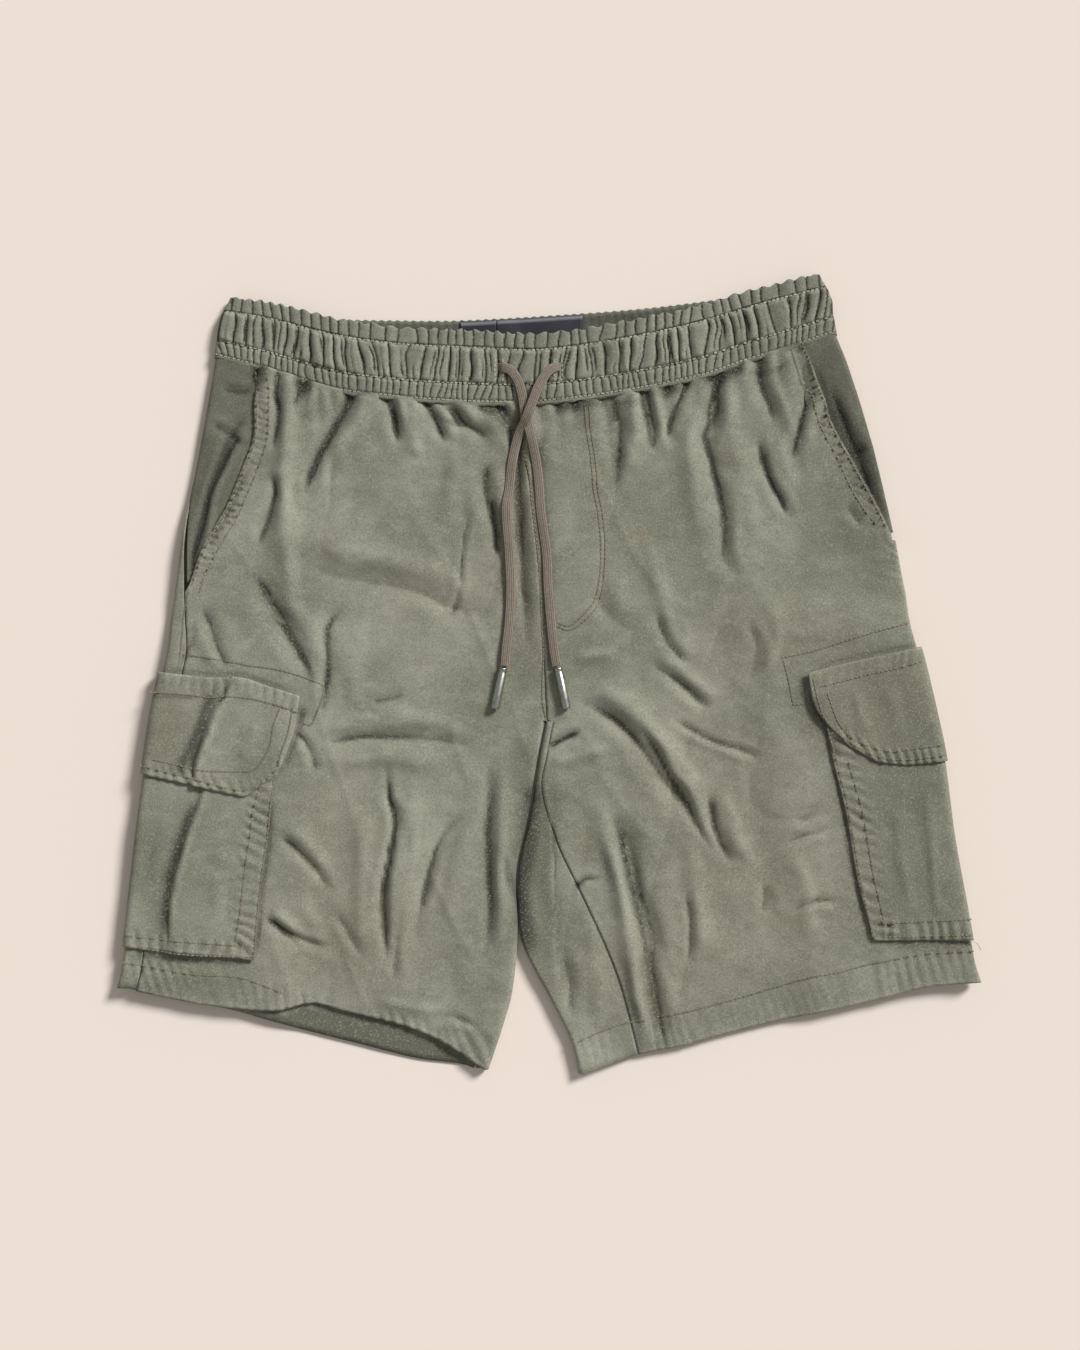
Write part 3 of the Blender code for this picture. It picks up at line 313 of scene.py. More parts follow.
# x, y, extra height over the cloth
CORD_LEFT_HOLE = ((-33.6, 213, -3.2), (-31.4, 213, -0.5), (-26, 211, 0.5), (-21, 204, 0.2),
                  (-18, 194, 0.2), (-16, 182, 0.3),
                  (-12, 166, 0.6), (-8, 147, 0.2), (-6, 129, 0), (-5, 113, 0), (-1, 84, 0),
                  (0, 61, 0), (2, 37, 0), (4, 18, 0.6), (6, 6, 1.4))
CORD_RIGHT_HOLE = ((7.6, 214, -3.2), (5.4, 213.6, -0.3), (0, 210, 1.3), (-6, 201, 2.6),
                   (-10, 191, 3.4), (-15, 178, 3.6),
                   (-21, 165, 3.0), (-25, 147, 0.8), (-27, 129, 0), (-29, 113, 0), (-27, 84, 0),
                   (-26, 61, 0), (-27, 37, 0), (-29, 18, 0.6), (-30, 6, 1.4))
AGLET_RIGHT_AT = ((7, 4.5), (13, -24))
AGLET_LEFT_AT = ((-31, 4.5), (-37, -24))
AGLET_RADIUS = 3.0
# radius and place along the tip, from the cord's end to the bore of the open mouth
TIP_PROFILE = ((0.01, 0.4), (2.1, 0.4), (2.6, 0.0), (2.95, 0.3), (3.0, 0.9), (2.75, 1.4), (2.72, 3.4),
               (2.98, 3.9), (3.0, 27.6), (2.9, 28.6), (2.6, 28.9), (2.3, 28.6), (2.25, 26.0),
               (0.01, 25.8))
BUTTONHOLES = ((-34, 212), (7, 212))
LABELS = (("label_main", -36, 24), ("label_size", -61, -36.4))
LABEL_DEPTH = 27.0
LABEL_TUCK = 0.8         # below the top edge of the back
LABEL_MID = 3.5
BAND_ENDS = {"left": ((221, -232), (236, -230), (250, -227), (262, -221)),
             "right": ((237, 201), (253, 198), (262, 197), (279, 189))}

# ---------------------------------------------------------------- stitch lines (mm)
BAND_HELD = (0.225, 0.71, 0.94)      # the band's stitch lines, as shares of its depth
FRONT_STITCHES = (
    # hip pockets
    ((-203, 209), (-202.5, 193), (-203.5, 165), (-211, 143), (-223, 114), (-237, 91), (-247, 63)),
    ((-195, 208), (-194, 193), (-195, 165), (-200, 148), (-208, 128), (-214, 114), (-219, 104),
     (-227, 91), (-233, 80), (-239, 68), (-242, 58)),
    ((177, 230), (182, 218), (187, 203), (192, 190), (197, 174), (211.5, 147), (225, 122), (234, 104)),
    ((169, 226), (173, 214), (178, 200), (184, 195), (187, 180), (193, 166), (201, 152),
     (207, 138), (214, 124), (221, 113), (229, 103)),
    # fly and centre seam
    ((29, 185), (30, 171), (33, 152), (35, 129), (38, 113), (40, 90), (39, 66), (35, 49), (25, 37),
     (15, 31), (8, 33)),
    ((26, 185), (27, 171), (30, 152), (32, 129), (35, 113), (37, 90), (36, 67), (32, 51), (23, 40),
     (15, 34), (9, 35)),
    ((-19, 186), (-17, 158), (-13, 138), (-11, 119), (-7, 84), (-5, 55), (-4, 32), (-3, 14),
     (-4, -15), (-1, -32)),
    # left seam above the flap
    ((-250, 57), (-253, 42), (-254, 29), (-255, 17), (-257, 6)),
    # left pocket frame
    ((-253, 14), (-227, 10), (-206, 6), (-198, 5), (-182, 2), (-159, -6), (-156, -12),
     (-160, -25), (-165, -35), (-172, -33)),
    # right pocket frame
    ((163, 12), (183, 16), (202, 22), (221, 28), (240, 33), (249, 35.5)),
    ((163, 12), (167, -3), (170, -18), (172, -21), (183, -19)),
    # hems
    ((-294, -200), (-281, -202), (-249, -208), (-217, -210), (-200, -215), (-185, -221)),
    ((18, -257), (41, -247), (57, -242), (75, -239), (101, -234), (141, -223), (181, -211),
     (202, -207), (221, -202), (241, -198), (262, -194), (294, -192)),
)
POCKET_STITCHES = (
    ((-190, -73), (-192, -90), (-194, -109), (-198, -136), (-201, -163), (-204, -196)),
    ((-199, -76), (-204, -94), (-206, -110), (-210, -136), (-213, -163), (-217, -187)),
    ((-292, -188), (-271, -191.5), (-245, -194.5), (-206, -196)),
    ((-291, -181), (-265, -184), (-239, -186), (-217, -188)),
    ((194, -38), (198, -52), (202.5, -69), (207, -86), (209, -98), (213, -120), (217, -144),
     (222, -166), (225, -181)),
    ((209, -62), (213, -76), (218, -94), (222, -117), (226, -140), (232, -166), (232, -172)),
    ((228, -181.5), (243, -182), (278, -181), (293, -180.5)),
    ((227, -173), (247, -172), (267, -171), (292, -169.5)),
)
FLAP_STITCHES = (
    ((-275, -12), (-250, -14), (-234, -16), (-221, -15), (-204, -17), (-185, -22), (-175, -26)),
    ((-185, -22), (-190, -35), (-192, -48), (-197, -58), (-204, -66), (-214, -67), (-241, -66),
     (-272, -59)),
    ((-177, -24), (-180, -40), (-185, -55), (-190, -68), (-210, -80), (-246, -72), (-282, -63)),
    ((190, -8), (202, -5), (221, 0), (240, 4), (258, 9)),
    ((194, -14), (198, -25), (203, -36), (214, -46), (235, -53), (249, -52), (271, -49)),
    ((184, -4), (189, -24), (196, -36), (211, -48), (229, -57), (249, -59), (273, -56)),
)

# ---------------------------------------------------------------- colours (linear)
TWILL = (0.205, 0.207, 0.155)
# paler twill: the wash's own fading and rubbed edges, and painted highlight on ridges
TWILL_FADE_AND_HIGHLIGHT = (0.400, 0.395, 0.315)
# darker twill: the wash's own darker mottle and patches, and painted shade in hollows and tucks
TWILL_DEEP = (0.105, 0.105, 0.078)
TWILL_BROWN = (0.215, 0.185, 0.125)
# painted shade in the deepest troughs, tucks and slits
TWILL_SHADE_BLACK = (0.022, 0.022, 0.016)
TWILL_INSIDE = (0.085, 0.085, 0.068)
THREAD_TAN = (0.42, 0.40, 0.30)
THREAD_BROWN = (0.25, 0.205, 0.135)
THREAD_WHITE = (0.62, 0.62, 0.60)
CORD_BROWN = (0.115, 0.092, 0.068)
CORD_PALE = (0.30, 0.255, 0.20)
NAVY = (0.012, 0.014, 0.022)
NAVY_EDGE = (0.30, 0.31, 0.33)
STEEL = (0.43, 0.46, 0.43)
FLOOR = (0.80, 0.71, 0.625)


# ---------------------------------------------------------------- curves and masks
def smooth(table, at):
    """Smooth values of a two-column table, continued straight past its ends."""
    places, values = np.array(table, float).T
    at = np.asarray(at, float)
    index = np.clip(np.searchsorted(places, at) - 1, 0, len(places) - 2)
    before, after = np.maximum(index - 1, 0), np.minimum(index + 2, len(places) - 1)
    a, b, left, right = places[index], places[index + 1], values[index], values[index + 1]
    slope_left = (right - values[before]) / (b - places[before])
    slope_right = (values[after] - left) / (places[after] - a)
    width = b - a
    t = (at - a) / width
    inside = ((2 * t**3 - 3 * t**2 + 1) * left + (t**3 - 2 * t**2 + t) * width * slope_left
              + (3 * t**2 - 2 * t**3) * right + (t**3 - t**2) * width * slope_right)
    inside = np.where(t < 0, left + slope_left * (at - a), inside)
    return np.where(t > 1, right + slope_right * (at - b), inside)


def ease(t):
    t = np.clip(t, 0.0, 1.0)
    return t * t * (3 - 2 * t)


def plateau(value, low, high, ramp):
    """1 between low and high, easing to 0 over the ramp outside them."""
    return ease((value - low) / ramp + 1) * ease((high - value) / ramp + 1)


def blend(a, b, t):
    return a + (b - a) * t


def rough(x, y, pitch, seed, stretch=1.0):
    """Smooth random heights from -1 to 1 with bumps of the given pitch."""
    lattice = np.random.default_rng(seed).uniform(-1, 1, (97, 97))
    u, v = np.asarray(x) / pitch + 500.3, np.asarray(y) / (pitch * stretch) + 500.7
    i, j = np.floor(u).astype(int), np.floor(v).astype(int)
    s, t = ease(u - i), ease(v - j)
    low = blend(lattice[i % 97, j % 97], lattice[(i + 1) % 97, j % 97], s)
    high = blend(lattice[i % 97, (j + 1) % 97], lattice[(i + 1) % 97, (j + 1) % 97], s)
    return blend(low, high, t)


def round_line(x, y, line, reach):
    """Which points lie in the box of a line, widened by the reach."""
    return ((x > line[:, 0].min() - reach) & (x < line[:, 0].max() + reach)
            & (y > line[:, 1].min() - reach) & (y < line[:, 1].max() + reach))


def spline(points, step=2.0):
    """Points at about equal steps along a smooth line through the given ones."""
    knots = np.array(points, float)
    dense = []
    for index in range(len(knots) - 1):
        before, start = knots[max(index - 1, 0)], knots[index]
        end, after = knots[index + 1], knots[min(index + 2, len(knots) - 1)]
        count = max(2, int(np.linalg.norm((end - start)[:2]) / (step / 2)))
        t = np.linspace(0, 1, count, endpoint=False)[:, None]
        dense.append((2 * start + (end - before) * t
                      + (2 * before - 5 * start + 4 * end - after) * t**2
                      + (3 * start - before - 3 * end + after) * t**3) / 2)
    line = np.vstack(dense + [knots[-1:]])
    run = np.concatenate(([0], np.cumsum(np.linalg.norm(np.diff(line, axis=0), axis=1))))
    at = np.linspace(0, run[-1], max(2, int(round(run[-1] / step)) + 1))
    return np.column_stack([np.interp(at, run, line[:, k]) for k in range(line.shape[1])])


def nearest(x, y, line):
    """Distance from each place to a line, the share along it, and the side it lies on."""
    best = np.full(np.shape(x), 1e9)
    share = np.zeros(np.shape(x))
    hand = np.ones(np.shape(x))
    run = np.concatenate(([0], np.cumsum(np.linalg.norm(np.diff(line, axis=0), axis=1))))
    for number, (start, end) in enumerate(zip(line[:-1], line[1:])):
        way = end - start
        length2 = float(way @ way)
        dx, dy = x - start[0], y - start[1]
        t = np.clip((dx * way[0] + dy * way[1]) / length2, 0, 1)
        away = np.hypot(dx - t * way[0], dy - t * way[1])
        nearer = away < best
        best = np.where(nearer, away, best)
        share = np.where(nearer, (run[number] + t * math.sqrt(length2)) / run[-1], share)
        hand = np.where(nearer, np.sign(way[0] * dy - way[1] * dx), hand)
    return best, share, hand


def crease_relief(x, y, creases):
    """Sum of the creases: soft ridges, and troughs with a low ridge at each side."""
    total = np.zeros(np.shape(x))
    warped_x = x + 1.1 * rough(x, y, 19, 91) + 0.4 * rough(x, y, 8, 92)
    warped_y = y + 1.1 * rough(x, y, 21, 93)
    uneven = 0.82 + 0.3 * rough(x, y, 24, 94)
    for half_width, height, path in creases:
        line = spline(path, 9.0)
        reach = 5 * half_width
        near = round_line(x, y, line, reach)
        if not near.any():
            continue
        away, share, hand = nearest(warped_x[near], warped_y[near], line)
        away = away / (half_width * uneven[near])
        ends = ease(share / 0.26 + 0.06) * ease((1 - share) / 0.26 + 0.06)
        profile = np.exp(-away ** 2)
        if height < 0:
            profile = np.exp(-away ** 1.25) - (0.40 + 0.16 * hand) * np.exp(-((away - 2.2) / 1.3) ** 2)
        total[near] += CREASE_LIFT * height * ends * profile
    return total


# ---------------------------------------------------------------- the two halves
class Side:
    """One half: its inward direction, outline, inner leg, pocket mouth and stacked pieces."""

    def __init__(self, inward, outline, inner, mouth, stack_y, pocket_edge, pocket_foot, flap_top,
                 flap_foot):
        self.inward = inward
        self.pocket_edge = pocket_edge
        self.pocket_foot = pocket_foot
        self.flap_top = flap_top
        self.flap_foot = flap_foot
        self.outline = outline
        self.inner = inner
        self.mouth = mouth
        self.stack_y = stack_y

    def layers(self, y):
        """Layers wrapped round the fold here: pocket and flap."""
        return 2 * plateau(y, *self.stack_y, STACK_RAMP)

    def outer(self, y):
        """Middle of the panel at the side fold."""
        return smooth(self.outline, y) + self.inward * (WALL / 2 + LAYER * self.layers(y))

    def depth(self, x, y):
        """Distance in from the side fold."""
        return (x - self.outer(y)) * self.inward

    def inner_depth(self, x, y):
        """Distance in from the inner-leg fold."""
        return (smooth(self.inner, y) - x) * self.inward

    def mouth_lift(self, x, y):
        """1 where the front lies over the pocket facing."""
        inside = (x - smooth(self.mouth, y)) * self.inward
        return plateau(inside, -40, MOUTH_REACH + 3, 22) * ease((y - self.mouth[0][0]) / 32 + 1)

    def root(self, y):
        return self.outer(y) + self.inward * FOLD_RADIUS


LEFT = Side(1, SIDE_LEFT, INNER_LEFT, MOUTH_LEFT, (-206, 12), POCKET_EDGE_LEFT,
            ((-310, -189), (-271, -193), (-245, -196), (-190, -198)), FLAP_TOP_LEFT, FLAP_BOTTOM_LEFT)
RIGHT = Side(-1, SIDE_RIGHT, INNER_RIGHT, MOUTH_RIGHT, (-198, 30), POCKET_EDGE_RIGHT,
             ((190, -184.5), (310, -184.5)), FLAP_TOP_RIGHT, FLAP_BOTTOM_RIGHT)


def by_side(x, y, measure):
    """A measure of the half that each place is on."""
    return np.where(x < smooth(CENTRE_FRONT, y), measure(LEFT), measure(RIGHT))


# ---------------------------------------------------------------- heights of the cloth
def hem_bottom(x):
    return np.where(x < -8, smooth(HEM_BACK_LEFT, x), smooth(HEM_RIGHT, x))


def back_mid(x, y):
    """Middle of the back panels, lifted over what lies beneath them."""
    x, y = np.asarray(x, float), np.asarray(y, float)

    def lift(side):
        beneath = 2 * ease((side.stack_y[1] - y) / STACK_RAMP + 1)
        return beneath * plateau(side.depth(x, y), -60, FLAP_UNDER + 24, STACK_RAMP)

    beneath = np.where(x < -8, lift(LEFT), lift(RIGHT))
    return WALL / 2 + 0.15 + LAYER * beneath


def back_skin(x, y):
    """Middle of the back panels with the gentle creases of the hidden side, none below its plane."""
    x, y = np.asarray(x, float), np.asarray(y, float)
    depth = by_side(x, y, lambda side: np.minimum(side.depth(x, y),
                                                  side.inner_depth(x, y) + 200 * (y > CROTCH_Y)))
    soft = 0.2 + 0.55 * rough(x, y, 60, 17, 1.6) + 0.3 * rough(x + 0.5 * y, y, 24, 18)
    soft += 0.6 * (1 - np.abs(rough(x - 0.3 * y, y, 48, 19, 1.8))) ** 8
    return back_mid(x, y) + np.clip(soft, 0, 0.7) * ease((depth - FOLD_RADIUS) / 18)


def facing_mid(x, y):
    """Middle of the skin that lies over the back panels, with no creases in it."""
    x, y = np.asarray(x, float), np.asarray(y, float)
    outer = ease(1 - (by_side(x, y, lambda side: side.depth(x, y)) - FOLD_RADIUS) / 24)
    inner = ease(1 - (by_side(x, y, lambda side: side.inner_depth(x, y)) - FOLD_RADIUS) / 20)
    inner = inner * ease((CROTCH_Y + 4 - y) / 30)
    waist = ease(1 - (smooth(BAND_BOTTOM, x) - y) / 26)
    puff = 1 - (1 - outer) * (1 - inner) * (1 - waist)
    return back_mid(x, y) + blend(BASE_RISE, EDGE_RISE, puff)


def edge_ripple(x, y):
    """Puckers along the hems, mouths and pocket edges, and gathers under the waistband."""
    below = smooth(BAND_BOTTOM, x) - y
    lean = 0.06 * (below - 20) * rough(x, 0 * x, 60, 2)
    gather = np.sin(x * 2 * math.pi / 14.5 + 4.5 * rough(x, 0 * x, 27, 3) + lean)
    gather = gather * np.exp(-below / 15)
    gather = 1.5 * gather * (0.75 + 0.5 * rough(x, y, 40, 4)) * ease(below / 3 + 0.4)
    hem = y - hem_bottom(x)
    ripple = np.sin((x + 0.3 * y) * 2 * math.pi / 7.5 + 5 * rough(x, y, 26, 5, 2.0))
    hem_part = 0.55 * ripple * plateau(hem, 4, HEM_HEIGHT + 2, 7) * (0.6 + 0.7 * rough(x, y, 33, 6))
    along = np.sin((y + 0.35 * x) * 2 * math.pi / 5.0 + 4.0 * rough(x, y, 18, 7))
    inside = by_side(x, y, lambda side: (x - smooth(side.mouth, y)) * side.inward)
    in_mouth = plateau(inside, -2, 9, 4) * ease((y - 60) / 12) * ease((215 - y) / 12)
    return gather + hem_part + 0.5 * along * 1.5 * in_mouth * (0.8 + 0.5 * rough(x, y, 9, 8))


def calm(x, y):
    """0 where another piece lies on the front, so that it lies flat there."""
    def stacked(side):
        low, high = side.stack_y
        return plateau(side.depth(x, y), -60, 84, 14) * plateau(y, low + 6, high - 12, 10)

    return 1 - 0.75 * by_side(x, y, stacked)


def front_relief(x, y):
    """Creases, crinkle and puckers of the fronts."""
    x, y = np.asarray(x, float), np.asarray(y, float)
    creases = crease_relief(x, y, CREASES)
    crinkle = (0.9 * rough(x, y, 75, 10) + 0.8 * rough(x + 0.3 * y, y, 34, 11, 1.5)
               + 0.34 * rough(x - 0.4 * y, y, 13, 12, 1.4) + 0.13 * rough(x, y, 5.5, 13))
    crinkle += 0.9 * (1 - np.abs(rough(x + 0.4 * y, y, 46, 14, 1.8))) ** 7
    crinkle -= 0.8 * (1 - np.abs(rough(x - 0.3 * y, y, 52, 15, 1.6))) ** 9
    return (creases + crinkle) * calm(x, y) + edge_ripple(x, y)


def front_mid(x, y):
    """Middle of the front panels."""
    x, y = np.asarray(x, float), np.asarray(y, float)
    lift = by_side(x, y, lambda side: side.mouth_lift(x, y))
    return facing_mid(x, y) + np.maximum(front_relief(x, y), -2.7) + LAYER * lift


def step_relief(x, y, height, soft, path):
    """Cloth folded over itself: higher on the right of a line that runs downwards."""
    away, _, hand = nearest(x + 0.8 * rough(x, y, 9, 95), y, spline(path, 9.0))
    across_line = away * hand
    return height * (0.5 + 0.5 * np.tanh(across_line / soft)) * np.exp(-np.maximum(across_line, 0) / 60)


def pocket_puckers(x, y):
    """Ripples between the stitch lines of the thigh pockets."""
    edge = by_side(x, y, lambda side: (smooth(side.pocket_edge, y) - x) * side.inward)
    low = by_side(x, y, lambda side: y - smooth(side.pocket_foot, x))
    beside = np.sin((y + 0.3 * x) * 2 * math.pi / 8.4 + 3.5 * rough(x, y, 21, 27))
    beneath = np.sin(x * 2 * math.pi / 8.0 + 3.5 * rough(x, y, 19, 28))
    return (0.75 * beside * plateau(edge, 3, 15, 4) * (0.7 + 0.5 * rough(x, y, 15, 29))
            + 0.55 * beneath * plateau(low, 2, 11, 4) * ease((edge - 4) / 8))


def flap_puckers(x, y):
    """Ripples along the top, the foot and the slanted end of the flaps."""
    top = by_side(x, y, lambda side: smooth(side.flap_top, x) - y)
    low = by_side(x, y, lambda side: y - np.interp(x, *np.array(side.flap_foot).T))
    upper = np.abs(np.sin(x * math.pi / 6.8 + 1.5 * rough(x, y, 17, 41)))
    lower = np.sin((x + 0.4 * y) * 2 * math.pi / 6.6 + 3 * rough(x, y, 15, 42))
    return (1.1 * (upper - 0.5) * plateau(top, 1, 10, 3) * (0.7 + 0.5 * rough(x, y, 20, 43))
            + 0.5 * lower * plateau(low, 1, 9, 3))


def wrapped_mid(level, creases, seed, puckers, steps):
    """Height function of a piece that lies on a front at a level."""
    def height(x, y):
        x, y = np.asarray(x, float), np.asarray(y, float)
        crinkle = 0.7 * rough(x, y, 30, seed) + 0.35 * rough(x, y, 11, seed + 1)
        own = crease_relief(x, y, creases) + crinkle + 0.5 + puckers(x, y)
        for step in steps:
            own = own + step_relief(x, y, *step)
        return front_mid(x, y) + level * LAYER + np.maximum(own, -0.3)
    return height


POCKET_STEPS = ((2.5, 0.8, ((-232, -60), (-241, -88), (-252, -120), (-260, -152), (-264, -200))),)
FLAP_STEPS = ((2.6, 0.7, ((-216, 8), (-221, -12), (-228, -24), (-236, -42), (-242, -60), (-250, -92))),)
pocket_mid = wrapped_mid(1, POCKET_CREASES, 21, pocket_puckers, POCKET_STEPS)
flap_mid = wrapped_mid(2, FLAP_CREASES, 23, flap_puckers, FLAP_STEPS)


FACING_CREASES = (
    Crease(3.0, -2.2, ((-212, 172), (-217, 162), (-225, 148), (-234, 129), (-240, 109), (-245, 89),
                       (-250, 66))),
    Crease(4.0, 1.0, ((-222, 176), (-232, 150), (-242, 118), (-248, 90))),
    Crease(3.0, -0.9, ((-236, 174), (-222, 168), (-212, 158))),
    Crease(3.5, -1.0, ((-228, 200), (-216, 196), (-206, 200))),
    Crease(3.0, -1.4, ((196, 206), (206, 176), (218, 146), (230, 116))),
    Crease(4.0, 0.9, ((206, 206), (216, 176), (228, 146))),
    Crease(3.0, -0.8, ((222, 158), (212, 152), (204, 156))),
)


def facing_height(x, y):
    """Middle of the cloth that shows in the pocket mouths."""
    x, y = np.asarray(x, float), np.asarray(y, float)
    own = crease_relief(x, y, FACING_CREASES) + 0.35 * rough(x, y, 15, 26, 1.6)
    return facing_mid(x, y) + np.maximum(own, -2.4)


def band_share(x, y):
    """0 at the waistband's top edge, 1 at its lower one."""
    top, bottom = smooth(BAND_TOP, x), smooth(BAND_BOTTOM, x)
    return (top - y) / (top - bottom)


def band_mid(x, y):
    """Middle of the gathered waistband: ruffle, puckered channel and fine ribs."""
    x, y = np.asarray(x, float), np.asarray(y, float)
    share = band_share(x, y)
    first, second, third = BAND_HELD
    sway = (x + 6 * rough(x, y, 40, 31, 2.0) + 3.4 * rough(x, y, 17, 32, 1.7)
            + 1.2 * rough(x, y, 8, 39, 1.3))
    lean = 2.4 * (share - 0.46) * rough(x, 0 * x, 19, 33)
    puckers = np.abs(np.sin(sway * math.pi / 9.2 + lean)) ** 0.8
    puckers = 3.3 * puckers * (0.8 + 0.45 * rough(x, 0 * x, 11, 34))
    puckers -= 0.9 * np.abs(np.cos(sway * math.pi / 6.1 + 1.7 * lean)) ** 6 * (1 + rough(x, y, 12, 35))
    pinched = np.abs(np.sin(sway * math.pi / 4.6 + lean))
    near_seams = np.exp(-(share - first) / 0.07) + np.exp(-(second - share) / 0.07)
    ruffle = np.abs(np.sin(sway * math.pi / 7.4 + 0.9)) ** 0.7 * (1.5 + 0.6 * rough(x, y, 9, 37, 3))
    ribs = 1.25 * np.abs(np.sin(sway * math.pi / 4.9 + 0.8 * rough(x, y, 12, 36, 3))) ** 0.8
    channel = plateau(share, first + 0.06, second - 0.06, 0.07)
    in_ruffle = ease((first - share) / 0.05)
    in_ribs = plateau(share, second + 0.035, third - 0.03, 0.03)
    held = sum(np.exp(-((share - at) / 0.022) ** 2) for at in BAND_HELD)
    seam_ribs = 0.9 * pinched * plateau(share, first, second, 0.001) * np.clip(near_seams, 0, 1)
    level = BAND_MID + 0.9 * channel - 0.9 * ease((share - third - 0.01) / 0.04)
    return (level + channel * (puckers - 1.5) + seam_ribs + in_ruffle * (ruffle - 0.8)
            + in_ribs * (ribs - 0.5) - 0.85 * held)


def band_edge(x):
    """Wavy top edge of the waistband."""
    return (0.9 * np.sin(x * 2 * math.pi / 9.4 + 5 * rough(x, 0 * x, 40, 31))
            + 0.8 * rough(x, 0 * x, 9, 38))


# ---------------------------------------------------------------- patches and meshes
def coons(top, bottom, start, end):
    """Plan grid between four boundary lines; start and end run from top to bottom."""
    v = np.linspace(0, 1, len(start))[:, None, None]
    u = np.linspace(0, 1, len(top))[None, :, None]
    ruled = top[None] * (1 - v) + bottom[None] * v + start[:, None] * (1 - u) + end[:, None] * u
    corner = (top[0] * (1 - u) + top[-1] * u) * (1 - v) + (bottom[0] * (1 - u) + bottom[-1] * u) * v
    return ruled - corner


def down(line, top, foot, count):
    """Points down a line, a function that gives x at y."""
    y = np.linspace(top, foot, count)
    return np.column_stack((line(y), y))


def across(table, start, end, count, shift=0.0):
    x = np.linspace(start, end, count)
    return np.column_stack((x, smooth(table, x) + shift))


def raised(plan, height):
    return np.dstack((plan, height(plan[..., 0], plan[..., 1])))


def sheet_mesh(points):
    """bmesh grid whose vertices stand at rows of points, and its rows of vertices."""
    rows, columns = points.shape[:2]
    mesh = bmesh.new()
    bmesh.ops.create_grid(mesh, x_segments=columns - 1, y_segments=rows - 1, size=1)
    mesh.verts.ensure_lookup_table()
    grid = [[mesh.verts[j * columns + i] for i in range(columns)] for j in range(rows)]
    for line, row in zip(grid, points * MM):
        for vert, place in zip(line, row):
            vert.co = place
    return mesh, grid


def extend(mesh, run, columns):
    """Extrudes a run of edge vertices through further columns of points."""
    for column in columns:
        edges = [mesh.edges.get(pair) for pair in zip(run, run[1:])]
        made = bmesh.ops.extrude_edge_only(mesh, edges=edges)
        fresh = {tuple(item.co): item for item in made["geom"]
                 if isinstance(item, bmesh.types.BMVert)}
        run = [fresh[tuple(vert.co)] for vert in run]
        for vert, place in zip(run, column * MM):
            vert.co = place
    return run


def fold_columns(edge, inward, reaches, y, level=0.0, skin=front_mid):
    """Columns of points of cloth that turns round a fold, from the front to beneath.

    A reach is the way along the cloth from the fold line; over 0 is on the front.
    """
    root = edge + inward * FOLD_RADIUS
    out = level * LAYER
    top, bottom = skin(root, y), back_mid(root, y) - out
    columns = []
    for reach in reaches:
        reach = np.broadcast_to(np.asarray(reach, float), np.shape(y))
        angle = np.clip(reach / FOLD_RADIUS, -math.pi / 2, math.pi / 2)
        round_x = root - inward * (FOLD_RADIUS + out) * np.cos(angle)
        round_z = (top + bottom) / 2 + (top - bottom) / 2 * np.sin(angle)
        flat_x = root + inward * (np.abs(reach) - QUARTER)
        flat_z = np.where(reach > 0, skin(flat_x, y), back_mid(flat_x, y) - out)
        turned = np.abs(reach) <= QUARTER
        columns.append(np.column_stack((np.where(turned, round_x, flat_x), y,
                                        np.where(turned, round_z, flat_z))))
    return columns


def cloth_object(name, mesh, wall, material, marks=None):
    """Object of a bmesh sheet with a wall; marks gives vertex attributes from x and y in mm."""
    bmesh.ops.recalc_face_normals(mesh, faces=mesh.faces)
    data = bpy.data.meshes.new(name)
    mesh.to_mesh(data)
    mesh.free()
    places = np.empty(len(data.vertices) * 3)
    data.vertices.foreach_get("co", places)
    x, y, z = places.reshape(-1, 3).T / MM
    for mark, measure in (marks or {}).items():
        layer = data.attributes.new(mark, "FLOAT", "POINT")
        layer.data.foreach_set("value", np.ascontiguousarray(measure(x, y, z), dtype=np.float32))
    made = bpy.data.objects.new(name, data)
    bpy.context.collection.objects.link(made)
    data.materials.append(material)
    data.shade_smooth()
    solid = made.modifiers.new("wall", "SOLIDIFY")
    solid.offset = 0
    solid.thickness = wall * MM
    return made


# ---------------------------------------------------------------- materials
class Number:
    """A shader number that Python's own operators work on."""

    def __init__(self, finish, socket):
        self.finish = finish
        self.socket = socket

    def _math(self, operation, *values):
        return self.finish.number("ShaderNodeMath", dict(operation=operation), *values)

    def __add__(self, other):
        return self._math("ADD", self, other)

    def __radd__(self, other):
        return self._math("ADD", other, self)

    def __rsub__(self, other):
        return self._math("SUBTRACT", other, self)

    def __mul__(self, other):
        return self._math("MULTIPLY", self, other)

    def __rmul__(self, other):
        return self._math("MULTIPLY", other, self)

    def __pow__(self, other):
        return self._math("POWER", self, other)

    def clamped(self):
        return self._math("MAXIMUM", self._math("MINIMUM", self, 1.0), 0.0)


